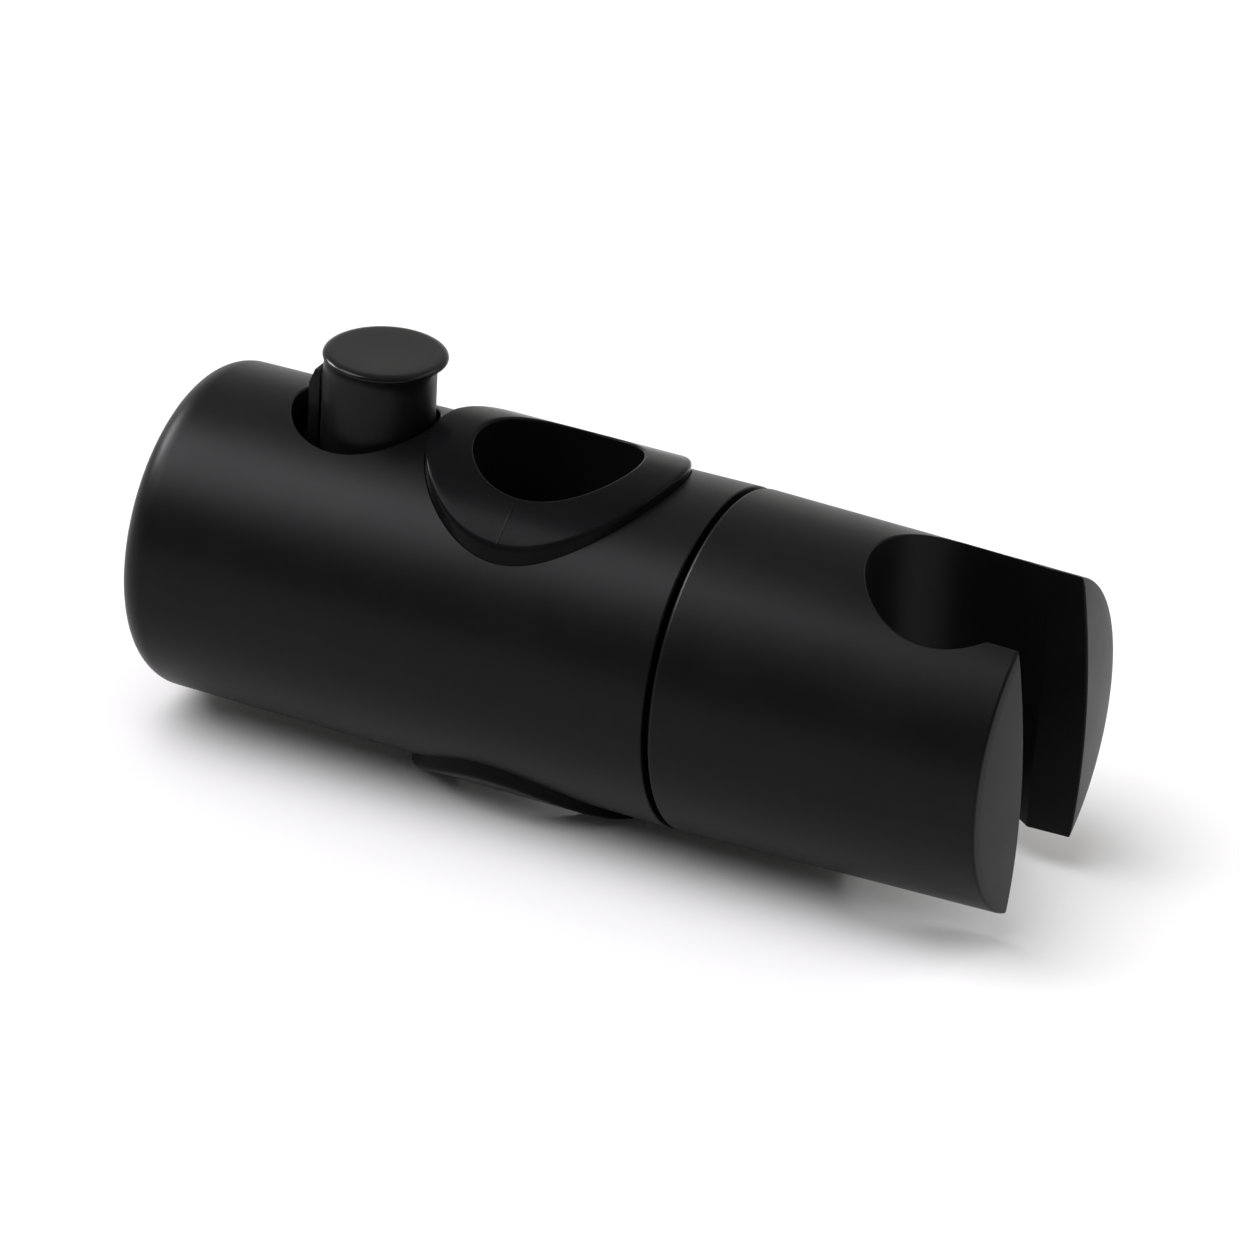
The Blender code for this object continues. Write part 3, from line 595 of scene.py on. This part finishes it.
def body_barrel():
    """The closed half of the barrel, with the button's well, the rail's hole and screw posts."""
    end = BODY_END_RADIUS
    boss = CLAMP_COIL_RADIUS - CLAMP_WIRE_RADIUS - SLIDE_GAP
    edge = (SEAM_RADIUS - SEAM_FILLET, BODY_RIGHT - SEAM_FILLET)
    corner = (end - END_FILLET, BODY_LEFT + END_FILLET)
    outside = arc(edge, SEAM_FILLET, 90, 0, 5)
    fillet = arc(corner, END_FILLET, 0, -90, 18)
    profile = [
        (0.0, BODY_BACK + SPRING_BOSS_LENGTH),
        (boss, BODY_BACK + SPRING_BOSS_LENGTH),
        (boss, BODY_BACK),
        (BODY_BORE_RADIUS - BORE_CHAMFER, BODY_BACK),
        (BODY_BORE_RADIUS, BODY_BACK + BORE_CHAMFER),
    ]
    mouth = (BODY_BORE_RADIUS, BODY_RIGHT)
    centre = (END_CENTRE, BODY_LEFT)
    profile += spaced(profile[-1], mouth, LONG_STEP) + [mouth] + outside
    profile += spaced(outside[-1], fillet[0], BARREL_STEP) + fillet
    profile += spaced(fillet[-1], centre, BARREL_STEP) + [centre, (0.0, BODY_LEFT)]
    shell = turned("body_barrel", profile, BARREL_STEPS)
    well = ring_contour(WELL_X, WELL_RADIUS, RING_STEPS)
    cut(shell, wall_cutter("well", well, BODY_BORE_RADIUS / 2, WELL_STRAIGHT, WELL_FLARE, False))
    for side in (-1, 1):
        y = side * PLATE_SCREW_OFFSET
        left, right = (SCREW_POST_LEFT, y, 0), (SCREW_POST_RIGHT, y, 0)
        join(shell, rod("post", SCREW_POST_RADIUS, left, right))
        hole = rod("hole", PLATE_SCREW_RADIUS + FIT_GAP,
                   (SCREW_POST_LEFT + SCREW_POST_FLOOR, y, 0), (SCREW_POST_RIGHT + PAST, y, 0))
        cut(shell, hole, flange_seat(side))
    below, above = (0, 0, -OUTSIDE), (0, 0, OUTSIDE)
    cut(shell, rod("passage", COLLAR_RADIUS + FIT_GAP, below, above, RING_STEPS))
    return smooth(shell)


def flange_seat(side):
    """A cutter for the shallow seat of a collar's flange, above for side 1 and below for -1."""
    inner, outer = COLLAR_RADIUS - COLLAR_WALL / 2, FLANGE_RADIUS + FLANGE_SIDE_GAP
    middle = (COLLAR_RADIUS + FLANGE_RADIUS) / 2
    high = FLANGE_SADDLE + PAST
    profile = [(inner, SEAT_SADDLE), (inner, high), (outer, high), (outer, SEAT_SADDLE),
               (middle, SEAT_SADDLE)]
    ring = drape(turned("seat", profile, RING_STEPS, True, False))
    if side < 0:
        ring.rotation_euler.x = pi
    return bake(ring)


def rail_collar(name, side):
    """The saddle-shaped flange with its sleeve, and a fine witness line at its front."""
    top, foot = FLANGE_SADDLE, SEAT_SADDLE + FIT_GAP
    inner, outer = RAIL_BORE_RADIUS, FLANGE_RADIUS
    fillet = FLANGE_FILLET
    profile = [(inner, FIT_GAP / 2), (inner, SLEEVE_RING)]
    profile += arc((inner + fillet, top - fillet), fillet, 180, 90, 7)
    profile += spaced((inner + fillet, top), (outer - fillet, top), FLANGE_STEP)
    profile += arc((outer - fillet, top - fillet), fillet, 90, 0, 7)
    profile += [(outer, foot), ((outer + COLLAR_RADIUS) / 2, foot)]
    profile += [(COLLAR_RADIUS, foot), (COLLAR_RADIUS, SLEEVE_RING), (COLLAR_RADIUS, FIT_GAP / 2)]
    front = 3 * pi / 2
    angles = [2 * pi * i / RING_STEPS for i in range(RING_STEPS)]
    angles = [a for a in angles if abs(a - front) > WITNESS_ROOM]
    angles = sorted(angles + [front + angle for angle in WITNESS_ANGLES])
    collar = turned(name, profile, RING_STEPS, True, False, angles)
    for vert in collar.data.vertices:
        across = vert.co.xy.length
        on_line = abs(vert.co.x) < across / 1000 and vert.co.y < 0
        if on_line and vert.co.z > top - fillet and across > inner + WITNESS_START:
            vert.co.z += WITNESS_HEIGHT
    drape(collar)
    window = block(
        "window",
        (-COLLAR_RADIUS - PAST, -NOSE_HALF_WIDTH - SLIDE_GAP, -PAST),
        (-RAIL_BORE_RADIUS / 2, NOSE_HALF_WIDTH + SLIDE_GAP, NOSE_HALF_HEIGHT + SLIDE_GAP),
    )
    cut(collar, window)
    if side < 0:
        collar.rotation_euler.x = pi
        bake(collar)
    return smooth(collar)


def release_button():
    """The capped stem. The stem stands a little behind the cap's centre."""
    side = CAP_FOOT
    shoulder = CARRIAGE_TOP + FIT_GAP
    foot = shoulder - PEG_LENGTH
    face = CAP_RADIUS - CAP_LIP
    under = CAP_RADIUS - CAP_UNDERCUT
    fillet = CAP_FOOT_FILLET
    cap = [(0.0, BUTTON_TOP - CAP_DISH), (CAP_CENTRE, BUTTON_TOP - CAP_DISH)]
    cap += spaced(cap[-1], (face, BUTTON_TOP), CAP_STEP)
    for i in range(LIP_STEPS + 1):
        turn = pi / 2 * (1 - i / LIP_STEPS)
        across = CAP_RADIUS - CAP_LIP * (1 - cos(turn))
        cap.append((across, BUTTON_TOP - CAP_LIP_HEIGHT * (1 - sin(turn))))
    cap += arc((CAP_RADIUS - fillet, side + fillet), fillet, 0, -90, 3)
    cap += [(under, side), (under - CAP_NECK[0], side - CAP_NECK[1])]
    stem = [(STEM_RADIUS - STEM_TAPER, side - CAP_CONE)]
    way = Vector(stem[0]) - Vector(cap[-1])
    cone = [(cap[-1][0] + way.x * (1 - (1 - share) ** 2), cap[-1][1] + way.y * share)
            for share in CONE_SHARES]
    stem_foot = (STEM_RADIUS, shoulder + STEM_CHAMFER)
    stem += spaced(stem[0], stem_foot, STEM_STEP)
    stem += [
        stem_foot,
        (STEM_RADIUS - STEM_CHAMFER, shoulder),
        (PEG_RADIUS, shoulder),
        (PEG_RADIUS, foot + PEG_CHAMFER),
        (PEG_RADIUS - PEG_CHAMFER, foot),
        (0.0, foot),
    ]
    button = turned("push_button", cap + cone + stem, RING_STEPS, along_x=False)
    for vert in button.data.vertices:
        share = (side - fillet - vert.co.z) / (CAP_CONE - fillet)
        vert.co.x += BUTTON_X - CAP_OFFSET * min(max(share, 0.0), 1.0)
    return smooth(button, 40)


def clamp_carriage():
    """The sliding carriage: two round guides, the block between them and the pad's nose."""
    guide = CARRIAGE_GUIDE
    front, back = CARRIAGE_FRONT, CARRIAGE_BACK
    carriage = rod("slide_carriage", CARRIAGE_RADIUS, (back, 0, 0), (back + guide, 0, 0),
                   GUIDE_STEPS)
    plate = rod("plate", CARRIAGE_RADIUS, (front - guide, 0, 0), (front, 0, 0), GUIDE_STEPS)
    core = block("core", (back + guide / 2, -CARRIAGE_HALF, -CARRIAGE_HALF),
                 (front - guide / 2, CARRIAGE_HALF, CARRIAGE_TOP + PAST))
    nose = block("nose", (front - guide / 2, -NOSE_HALF_WIDTH, -NOSE_HALF_HEIGHT),
                 (NOSE_FACE_X, NOSE_HALF_WIDTH, NOSE_HALF_HEIGHT))
    join(carriage, plate, core, nose)
    trim = block("trim", (back - PAST, -OUTSIDE, CARRIAGE_TOP), (0, OUTSIDE, OUTSIDE))
    floor = CARRIAGE_TOP - PEG_LENGTH
    socket = rod("socket", PEG_RADIUS + FIT_GAP, (STEM_X, 0, floor), (STEM_X, 0, OUTSIDE))
    pocket = rod("pocket", CLAMP_COIL_RADIUS + CLAMP_WIRE_RADIUS + SLIDE_GAP,
                 (back - PAST, 0, 0), (back + SPRING_POCKET_DEPTH, 0, 0))
    peg_hole = rod("peg_hole", PAD_PEG_RADIUS + FIT_GAP,
                   (PAD_BACK_X - PAD_PEG_LENGTH - FIT_GAP, 0, 0), (NOSE_FACE_X + PAST, 0, 0))
    cut(carriage, trim, socket, pocket, peg_hole)
    join(carriage, back_rib())
    return smooth(carriage)


def back_rib():
    """The upright rib behind the button's stem, with rounded edges and a pointed top."""
    edge = STEM_X - STEM_RADIUS - FIT_GAP
    neck, back = edge - RIB_NECK, edge - RIB_WIDTH + RIB_BACK_GAP
    wall_foot = BODY_BORE_RADIUS - CLAMP_TRAVEL
    root, ledge = CARRIAGE_TOP - RIB_ROOT, CARRIAGE_TOP + RIB_LEDGE
    top = BUTTON_TOP - RIB_BELOW_CAP
    outline = [
        (edge, root),
        (edge, ledge),
        (edge + RIB_REACH, ledge),
        (edge + RIB_REACH, top),
        (edge - RIB_TIP, top),
        (neck, top - RIB_NECK_DROP),
        (neck, wall_foot + RIB_SHOULDER),
        (back, wall_foot),
        (back, root),
    ]
    half = RIB_THICKNESS / 2
    rows = [[(x, y, z) for x, z in outline] for y in (-half, half)]
    room = rod("room", STEM_RADIUS + FIT_GAP, (STEM_X, 0, CARRIAGE_TOP), (STEM_X, 0, OUTSIDE),
               GUIDE_STEPS)
    return bevelled(cut(tube("rib", rows), room), RIB_EDGE, 25, 2)


def clamp_pad():
    """The rubber pad, hollowed to the rail and finely grooved across for grip."""
    pad = block("grip_pad", (PAD_BACK_X, -PAD_HALF_WIDTH, -PAD_HALF_HEIGHT),
                (-RAIL_BORE_RADIUS / 3, PAD_HALF_WIDTH, PAD_HALF_HEIGHT))
    rail_x = PAD_FACE_X + RAIL_BORE_RADIUS
    hollow = rod("hollow", RAIL_BORE_RADIUS, (rail_x, 0, -OUTSIDE), (rail_x, 0, OUTSIDE),
                 RING_STEPS)
    inner, outer = RAIL_BORE_RADIUS - PAST, RAIL_BORE_RADIUS + PAD_GROOVE_DEPTH
    wide, narrow, slope = PAD_GROOVE_HALF, PAD_GROOVE_FLOOR, outer - PAD_GROOVE_SLOPE
    grooves = []
    for i in range(PAD_GROOVES):
        z = (i - (PAD_GROOVES - 1) / 2) * PAD_GROOVE_PITCH
        profile = [(inner, z - wide), (slope, z - wide), (outer, z - narrow),
                   (outer, z + narrow), (slope, z + wide), (inner, z + wide)]
        ring = turned(f"groove_{i}", profile, RING_STEPS, True, False)
        ring.location.x = rail_x
        grooves.append(bake(ring))
    peg = rod("peg", PAD_PEG_RADIUS, (PAD_BACK_X - PAD_PEG_LENGTH, 0, 0),
              (PAD_BACK_X + PAD_THICKNESS / 2, 0, 0))
    cut(pad, hollow)
    cut(pad, *grooves)
    join(pad, peg)
    return smooth(pad)


def fork_barrel():
    """The open half of the barrel: domed end, keyhole for the handset and its hose, spigot."""
    pocket_outer = SPIGOT_RADIUS - SPIGOT_WALL
    rim = (FORK_END_RADIUS - FORK_END_FILLET, FORK_RIM_X - FORK_END_FILLET)
    rim_arc = arc(rim, FORK_END_FILLET, DOME_EDGE_ANGLE, 0, 6)
    shoulder = (SEAM_RADIUS - SHOULDER_FILLET, SHOULDER_X + SHOULDER_FILLET)
    shoulder_arc = arc(shoulder, SHOULDER_FILLET, 0, -90, 8)
    profile = [
        (SCREW_HOLE_RADIUS, HUB_RECESS_X),
        (SCREW_HOLE_RADIUS, SPRING_SEAT_X),
        (COUNTERBORE_RADIUS, SPRING_SEAT_X),
    ]
    last = rim_arc[0][0]
    for i in range(DOME_STEPS):
        r = COUNTERBORE_RADIUS + (last - COUNTERBORE_RADIUS) * i / DOME_STEPS
        profile.append((r, dome_x(r, 0)))
    profile += rim_arc + spaced(rim_arc[-1], shoulder_arc[0], BARREL_STEP) + shoulder_arc
    profile += [
        (SPIGOT_RADIUS, SHOULDER_X),
        (SPIGOT_RADIUS, O_RING_X + GROOVE_HALF),
        (SPIGOT_RADIUS - GROOVE_DEPTH, O_RING_X + GROOVE_HALF),
        (SPIGOT_RADIUS - GROOVE_DEPTH, O_RING_X - GROOVE_HALF),
        (SPIGOT_RADIUS, O_RING_X - GROOVE_HALF),
        (SPIGOT_RADIUS, SPIGOT_X + SPIGOT_CHAMFER),
        (SPIGOT_RADIUS - SPIGOT_CHAMFER, SPIGOT_X),
        (pocket_outer, SPIGOT_X),
        (pocket_outer, FORK_POCKET_FLOOR),
        (HUB_RADIUS, FORK_POCKET_FLOOR),
        (HUB_RADIUS, SPIGOT_X),
        (HUB_RECESS_RADIUS, SPIGOT_X),
        (HUB_RECESS_RADIUS, HUB_RECESS_X),
    ]
    fork = turned("fork_barrel", profile, BARREL_STEPS, True)
    keyhole = wall_cutter("keyhole", keyhole_contour, -KEYHOLE_STRAIGHT, KEYHOLE_STRAIGHT, EDGE,
                          True)
    cut(fork, keyhole)
    cut(fork, cheek_cutter(-1), cheek_cutter(1))
    smooth(fork)
    fork.data.transform(Matrix.Rotation(radians(FORK_TILT), 4, "X"))
    return fork


def socket_cap():
    """The push-in cap over the pivot screw, with a shallow coin slot."""
    radius = COUNTERBORE_RADIUS - FIT_GAP
    high = SCREW_CAP_X + SCREW_CAP_THICKNESS
    fillet = SCREW_CAP_FILLET
    profile = [(0.0, high)] + arc((radius - fillet, high - fillet), fillet, 90, 0, 4)
    profile += [(radius, SCREW_CAP_X), (0.0, SCREW_CAP_X)]
    cap = turned("socket_cap", profile, GUIDE_STEPS)
    floor, width, length = high - COIN_SLOT_DEPTH, COIN_SLOT_HALF_WIDTH, COIN_SLOT_HALF_LENGTH
    cut(cap, block("coin", (floor, -width, -length), (high + PAST, width, length)))
    cap.data.transform(Matrix.Rotation(radians(FORK_TILT), 4, "X"))
    return smooth(cap)


def squeeze_spring(material):
    """A smooth-shaded copy of the CAD's clamp spring; the real one shortens towards the closed
    end as the clamp draws back.
    """
    spring = add("coil_spring", nodes["clamp_spring"].data.copy())
    spring.data.shade_smooth()
    dress(spring, material, "body", "stainless_steel", "clamp_spring")
    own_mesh(spring)


# ---------------------------------------------------------------- materials


class Recipe:
    """A procedural material: a Principled shader whose inputs come from noise."""

    def __init__(self, name, colour, specular, metallic=0.0):
        self.material = bpy.data.materials.new(name)
        self.material.use_nodes = True
        self.material.diffuse_color = (*colour, 1.0)
        self.tree = self.material.node_tree
        self.shader = self.tree.nodes["Principled BSDF"]
        self.set("Base Color", (*colour, 1.0))
        self.set("Specular IOR Level", specular)
        self.set("Metallic", metallic)
        self.set("IOR", 1.5)
        self.place = self.tree.nodes.new("ShaderNodeTexCoord").outputs["Object"]

    def set(self, socket, value):
        """Sets one input of the shader."""
        self.shader.inputs[socket].default_value = value

    def noise(self, scale, detail=3.0, rough=0.55, stretch=None):
        """Noise in the part's own frame, stretched along an axis where its factor is low."""
        node = self.tree.nodes.new("ShaderNodeTexNoise")
        node.inputs["Scale"].default_value = scale
        node.inputs["Detail"].default_value = detail
        node.inputs["Roughness"].default_value = rough
        place = self.place
        if stretch:
            mapping = self.tree.nodes.new("ShaderNodeMapping")
            mapping.inputs["Scale"].default_value = stretch
            self.tree.links.new(place, mapping.inputs["Vector"])
            place = mapping.outputs["Vector"]
        self.tree.links.new(place, node.inputs["Vector"])
        return node.outputs["Fac"]

    def between(self, factor, low, high, start=NOISE_LOW, end=NOISE_HIGH):
        """A number that goes from low to high as the factor goes from start to end."""
        node = self.tree.nodes.new("ShaderNodeMapRange")
        node.inputs["From Min"].default_value = start
        node.inputs["From Max"].default_value = end
        node.inputs["To Min"].default_value = low
        node.inputs["To Max"].default_value = high
        self.tree.links.new(factor, node.inputs["Value"])
        return node.outputs["Result"]

    def shades(self, factor, dark, light):
        """A base colour between two shades."""
        node = self.tree.nodes.new("ShaderNodeValToRGB")
        node.color_ramp.elements[0].position = NOISE_LOW
        node.color_ramp.elements[0].color = (*dark, 1.0)
        node.color_ramp.elements[1].position = NOISE_HIGH
        node.color_ramp.elements[1].color = (*light, 1.0)
        self.tree.links.new(factor, node.inputs["Fac"])
        self.tree.links.new(node.outputs["Color"], self.shader.inputs["Base Color"])

    def roughness(self, factor, low, high):
        """A roughness between two values."""
        self.tree.links.new(self.between(factor, low, high), self.shader.inputs["Roughness"])

    def bumps(self, *layers):
        """Layers of (height, strength, distance), coarse before fine."""
        normal = None
        for height, strength, distance in layers:
            node = self.tree.nodes.new("ShaderNodeBump")
            node.inputs["Strength"].default_value = strength
            node.inputs["Distance"].default_value = distance
            self.tree.links.new(height, node.inputs["Height"])
            if normal:
                self.tree.links.new(normal, node.inputs["Normal"])
            normal = node.outputs["Normal"]
        self.tree.links.new(normal, self.shader.inputs["Normal"])


def matte_plastic(name):
    """Black ABS with a fine spark-eroded texture."""
    recipe = Recipe(name, (0.0033, 0.0032, 0.0035), 0.10)
    grain = recipe.noise(3600.0, 2.0, 0.6)
    cloud = recipe.noise(130.0, 3.0)
    recipe.shades(cloud, (0.0030, 0.0029, 0.0032), (0.0036, 0.0035, 0.0039))
    recipe.roughness(cloud, 0.35, 0.39)
    recipe.bumps((recipe.noise(420.0, 2.0), 0.10, 0.00004), (grain, 0.22, 0.000012))
    return recipe.material


def satin_plastic(name):
    """The collars: smoother black ABS with faint polishing marks."""
    recipe = Recipe(name, (0.0040, 0.0040, 0.0043), 0.03)
    marks = recipe.noise(700.0, 3.0, 0.6, (1.0, 6.0, 1.0))
    cloud = recipe.noise(220.0, 3.0)
    recipe.shades(cloud, (0.0036, 0.0035, 0.0039), (0.0044, 0.0043, 0.0047))
    recipe.roughness(marks, 0.18, 0.25)
    recipe.bumps((cloud, 0.12, 0.00004), (recipe.noise(3000.0, 2.0), 0.10, 0.00001))
    return recipe.material


def gloss_plastic(name):
    """The button: black ABS with fine handling marks, polished on its cap."""
    recipe = Recipe(name, (0.0030, 0.0030, 0.0032), 0.13)
    marks = recipe.noise(900.0, 4.0, 0.65, (1.0, 1.0, 0.25))
    cloud = recipe.noise(260.0, 2.0)
    recipe.shades(cloud, (0.0032, 0.0032, 0.0034), (0.0040, 0.0040, 0.0042))
    split = recipe.tree.nodes.new("ShaderNodeSeparateXYZ")
    recipe.tree.links.new(recipe.place, split.inputs["Vector"])
    fade = (CAP_FOOT - POLISH_FADE, CAP_FOOT + CAP_FOOT_FILLET)
    polish = recipe.between(split.outputs["Z"], STEM_ROUGHER, 0.0, *fade)
    total = recipe.tree.nodes.new("ShaderNodeMath")
    recipe.tree.links.new(recipe.between(marks, 0.14, 0.22), total.inputs[0])
    recipe.tree.links.new(polish, total.inputs[1])
    recipe.tree.links.new(total.outputs["Value"], recipe.shader.inputs["Roughness"])
    recipe.bumps((cloud, 0.12, 0.00005), (recipe.noise(3400.0, 2.0), 0.05, 0.00001))
    return recipe.material


def acetal_plastic(name):
    """Near-black acetal with a waxy, slightly mottled surface and fine tool marks."""
    recipe = Recipe(name, (0.006, 0.006, 0.006), 0.10)
    cloud = recipe.noise(420.0, 4.0)
    recipe.shades(cloud, (0.0050, 0.0050, 0.0052), (0.0070, 0.0070, 0.0073))
    recipe.roughness(recipe.noise(1500.0, 3.0), 0.38, 0.52)
    marks = recipe.noise(1800.0, 2.0, 0.5, (1.0, 0.15, 1.0))
    recipe.bumps((cloud, 0.15, 0.00004), (marks, 0.15, 0.00002))
    return recipe.material


def rubber(name):
    """Matt black rubber with a fine pitted grain and a trace of bloom."""
    recipe = Recipe(name, (0.012, 0.012, 0.012), 0.3)
    grain = recipe.noise(5200.0, 3.0, 0.7)
    recipe.shades(recipe.noise(600.0, 4.0), (0.009, 0.009, 0.009), (0.019, 0.019, 0.020))
    recipe.roughness(grain, 0.68, 0.84)
    recipe.bumps((recipe.noise(900.0, 2.0), 0.2, 0.00005), (grain, 0.5, 0.00003))
    return recipe.material


def steel(name):
    """Stainless steel with drawn and turned marks."""
    recipe = Recipe(name, (0.60, 0.59, 0.57), 0.5, 1.0)
    marks = recipe.noise(2400.0, 3.0, 0.6, (0.12, 1.0, 1.0))
    recipe.shades(marks, (0.52, 0.51, 0.49), (0.66, 0.65, 0.63))
    recipe.roughness(marks, 0.22, 0.38)
    recipe.bumps((marks, 0.2, 0.00001))
    return recipe.material


# ---------------------------------------------------------------- studio


def floor_material():
    """White paper with the faintest tooth."""
    recipe = Recipe("floor_paper", (0.86, 0.86, 0.86), 0.0)
    recipe.set("Roughness", 1.0)
    recipe.bumps((recipe.noise(900.0, 2.0), 0.05, 0.00003))
    return recipe.material


def make_floor():
    """A white floor under the part's lowest point."""
    half, low = FLOOR_HALF, cad_box[0].z
    corners = [(-half, -half, low), (half, -half, low), (half, half, low), (-half, half, low)]
    floor = solid("floor", corners, [(0, 1, 2, 3)])
    if floor.data.polygons[0].normal.z < 0:
        floor.data.flip_normals()
    floor.data.materials.append(floor_material())


def softbox(name, target, azimuth, elevation, distance, size, radiance, colour, use="both"):
    """A soft lamp. Azimuth 0 is in front (-Y) and grows towards -X, in degrees.

    Its use is "shine" when only reflections show it, "wash" when it only lights matt surfaces.
    """
    a, e = radians(azimuth), radians(elevation)
    way = Vector((-sin(a) * cos(e), -cos(a) * cos(e), sin(e)))
    lamp = bpy.data.lights.new(name, "AREA")
    lamp.shape = "RECTANGLE"
    lamp.size, lamp.size_y = size
    lamp.energy = radiance * size[0] * size[1] * 4
    lamp.color = colour
    obj = bpy.data.objects.new(name, lamp)
    bpy.context.scene.collection.objects.link(obj)
    obj.location = Vector(target) + way * distance
    obj.rotation_euler = way.to_track_quat("Z", "Y").to_euler()
    obj.visible_diffuse = use != "shine"
    obj.visible_glossy = use != "wash"


def make_room():
    """A pale room, brighter behind the part than in front of it."""
    world = bpy.data.worlds.new("studio")
    world.use_nodes = True
    background = world.node_tree.nodes["Background"]
    background.inputs["Color"].default_value = (1.0, 0.985, 0.97, 1.0)
    tree = world.node_tree
    place = tree.nodes.new("ShaderNodeTexCoord").outputs["Generated"]
    split = tree.nodes.new("ShaderNodeSeparateXYZ")
    level = tree.nodes.new("ShaderNodeMapRange")
    level.inputs["From Min"].default_value = -WORLD_REACH
    level.inputs["From Max"].default_value = WORLD_REACH
    level.inputs["To Min"].default_value = WORLD_FRONT
    level.inputs["To Max"].default_value = WORLD_BACK
    tree.links.new(place, split.inputs["Vector"])
    tree.links.new(split.outputs["Y"], level.inputs["Value"])
    tree.links.new(level.outputs["Result"], background.inputs["Strength"])
    bpy.context.scene.world = world


def make_lamps():
    """Two lamps for the highlights, one for the floor, and two weak ones behind the part."""
    middle = (0.0, 0.0, 0.0)
    softbox("key", (-0.210, 0.0, 0.0), azimuth=47, elevation=59, distance=0.60,
            size=(0.44, 0.44), radiance=6.2, colour=(1.0, 0.985, 1.015), use="shine")
    softbox("side", (-0.020, 0.0, 0.0), azimuth=95, elevation=30, distance=0.80,
            size=(0.30, 0.25), radiance=20.0, colour=(1.0, 0.985, 1.01), use="shine")
    softbox("wash", middle, azimuth=38, elevation=62, distance=1.20,
            size=(1.10, 1.10), radiance=3.70, colour=(1.0, 0.985, 1.01), use="wash")
    softbox("horizon", middle, azimuth=157, elevation=5, distance=1.40,
            size=(2.20, 0.50), radiance=0.38, colour=(1.0, 0.985, 0.96))
    softbox("fill", middle, azimuth=-120, elevation=43, distance=1.10,
            size=(1.10, 0.42), radiance=1.50, colour=(1.0, 1.0, 1.0))


def make_camera():
    """The photo's camera: a long lens, looking down at the front from the fork's side."""
    camera = bpy.data.cameras.new("camera")
    camera.lens = CAMERA_LENS
    camera.sensor_width = 36.0
    camera.clip_start = 0.01
    obj = bpy.data.objects.new("camera", camera)
    bpy.context.scene.collection.objects.link(obj)
    turn = Matrix((CAMERA_RIGHT, CAMERA_UP, CAMERA_BACK)).transposed().to_4x4()
    obj.matrix_world = Matrix.Translation(CAMERA_PLACE) @ turn
    bpy.context.scene.camera = obj


def main():
    bpy.context.scene.view_settings.view_transform = "Standard"
    make_camera()
    make_room()
    make_lamps()
    make_floor()

    materials = {
        "matte_black_abs": matte_plastic("matte_black_abs_grained"),
        "satin_black_abs": satin_plastic("satin_black_abs_polished"),
        "gloss_black_abs": gloss_plastic("gloss_black_abs_marked"),
        "grey_acetal": acetal_plastic("grey_acetal_mottled"),
        "black_rubber": rubber("black_rubber_pitted"),
        "stainless_steel": steel("stainless_steel_drawn"),
    }
    for node in nodes.values():
        for slot in node.material_slots:
            name = slot.material.name.split(".")[0]
            slot.material = materials[name]

    matte = materials["matte_black_abs"]
    satin = materials["satin_black_abs"]
    dress(body_barrel(), matte, "body", "matte_black_abs", "body_shell")
    dress(rail_collar("collar_top", 1), satin, "body", "satin_black_abs", "upper_rail_collar")
    dress(rail_collar("collar_foot", -1), satin, "body", "satin_black_abs", "lower_rail_collar")
    dress(release_button(), materials["gloss_black_abs"], "clamp", "gloss_black_abs",
          "release_button")
    dress(clamp_carriage(), materials["grey_acetal"], "clamp", "grey_acetal", "clamp_carriage")
    dress(clamp_pad(), materials["black_rubber"], "clamp", "black_rubber", "clamp_pad")
    dress(fork_barrel(), matte, "fork", "matte_black_abs", "handset_fork")
    dress(socket_cap(), matte, "fork", "matte_black_abs", "screw_cap")
    squeeze_spring(materials["stainless_steel"])


main()
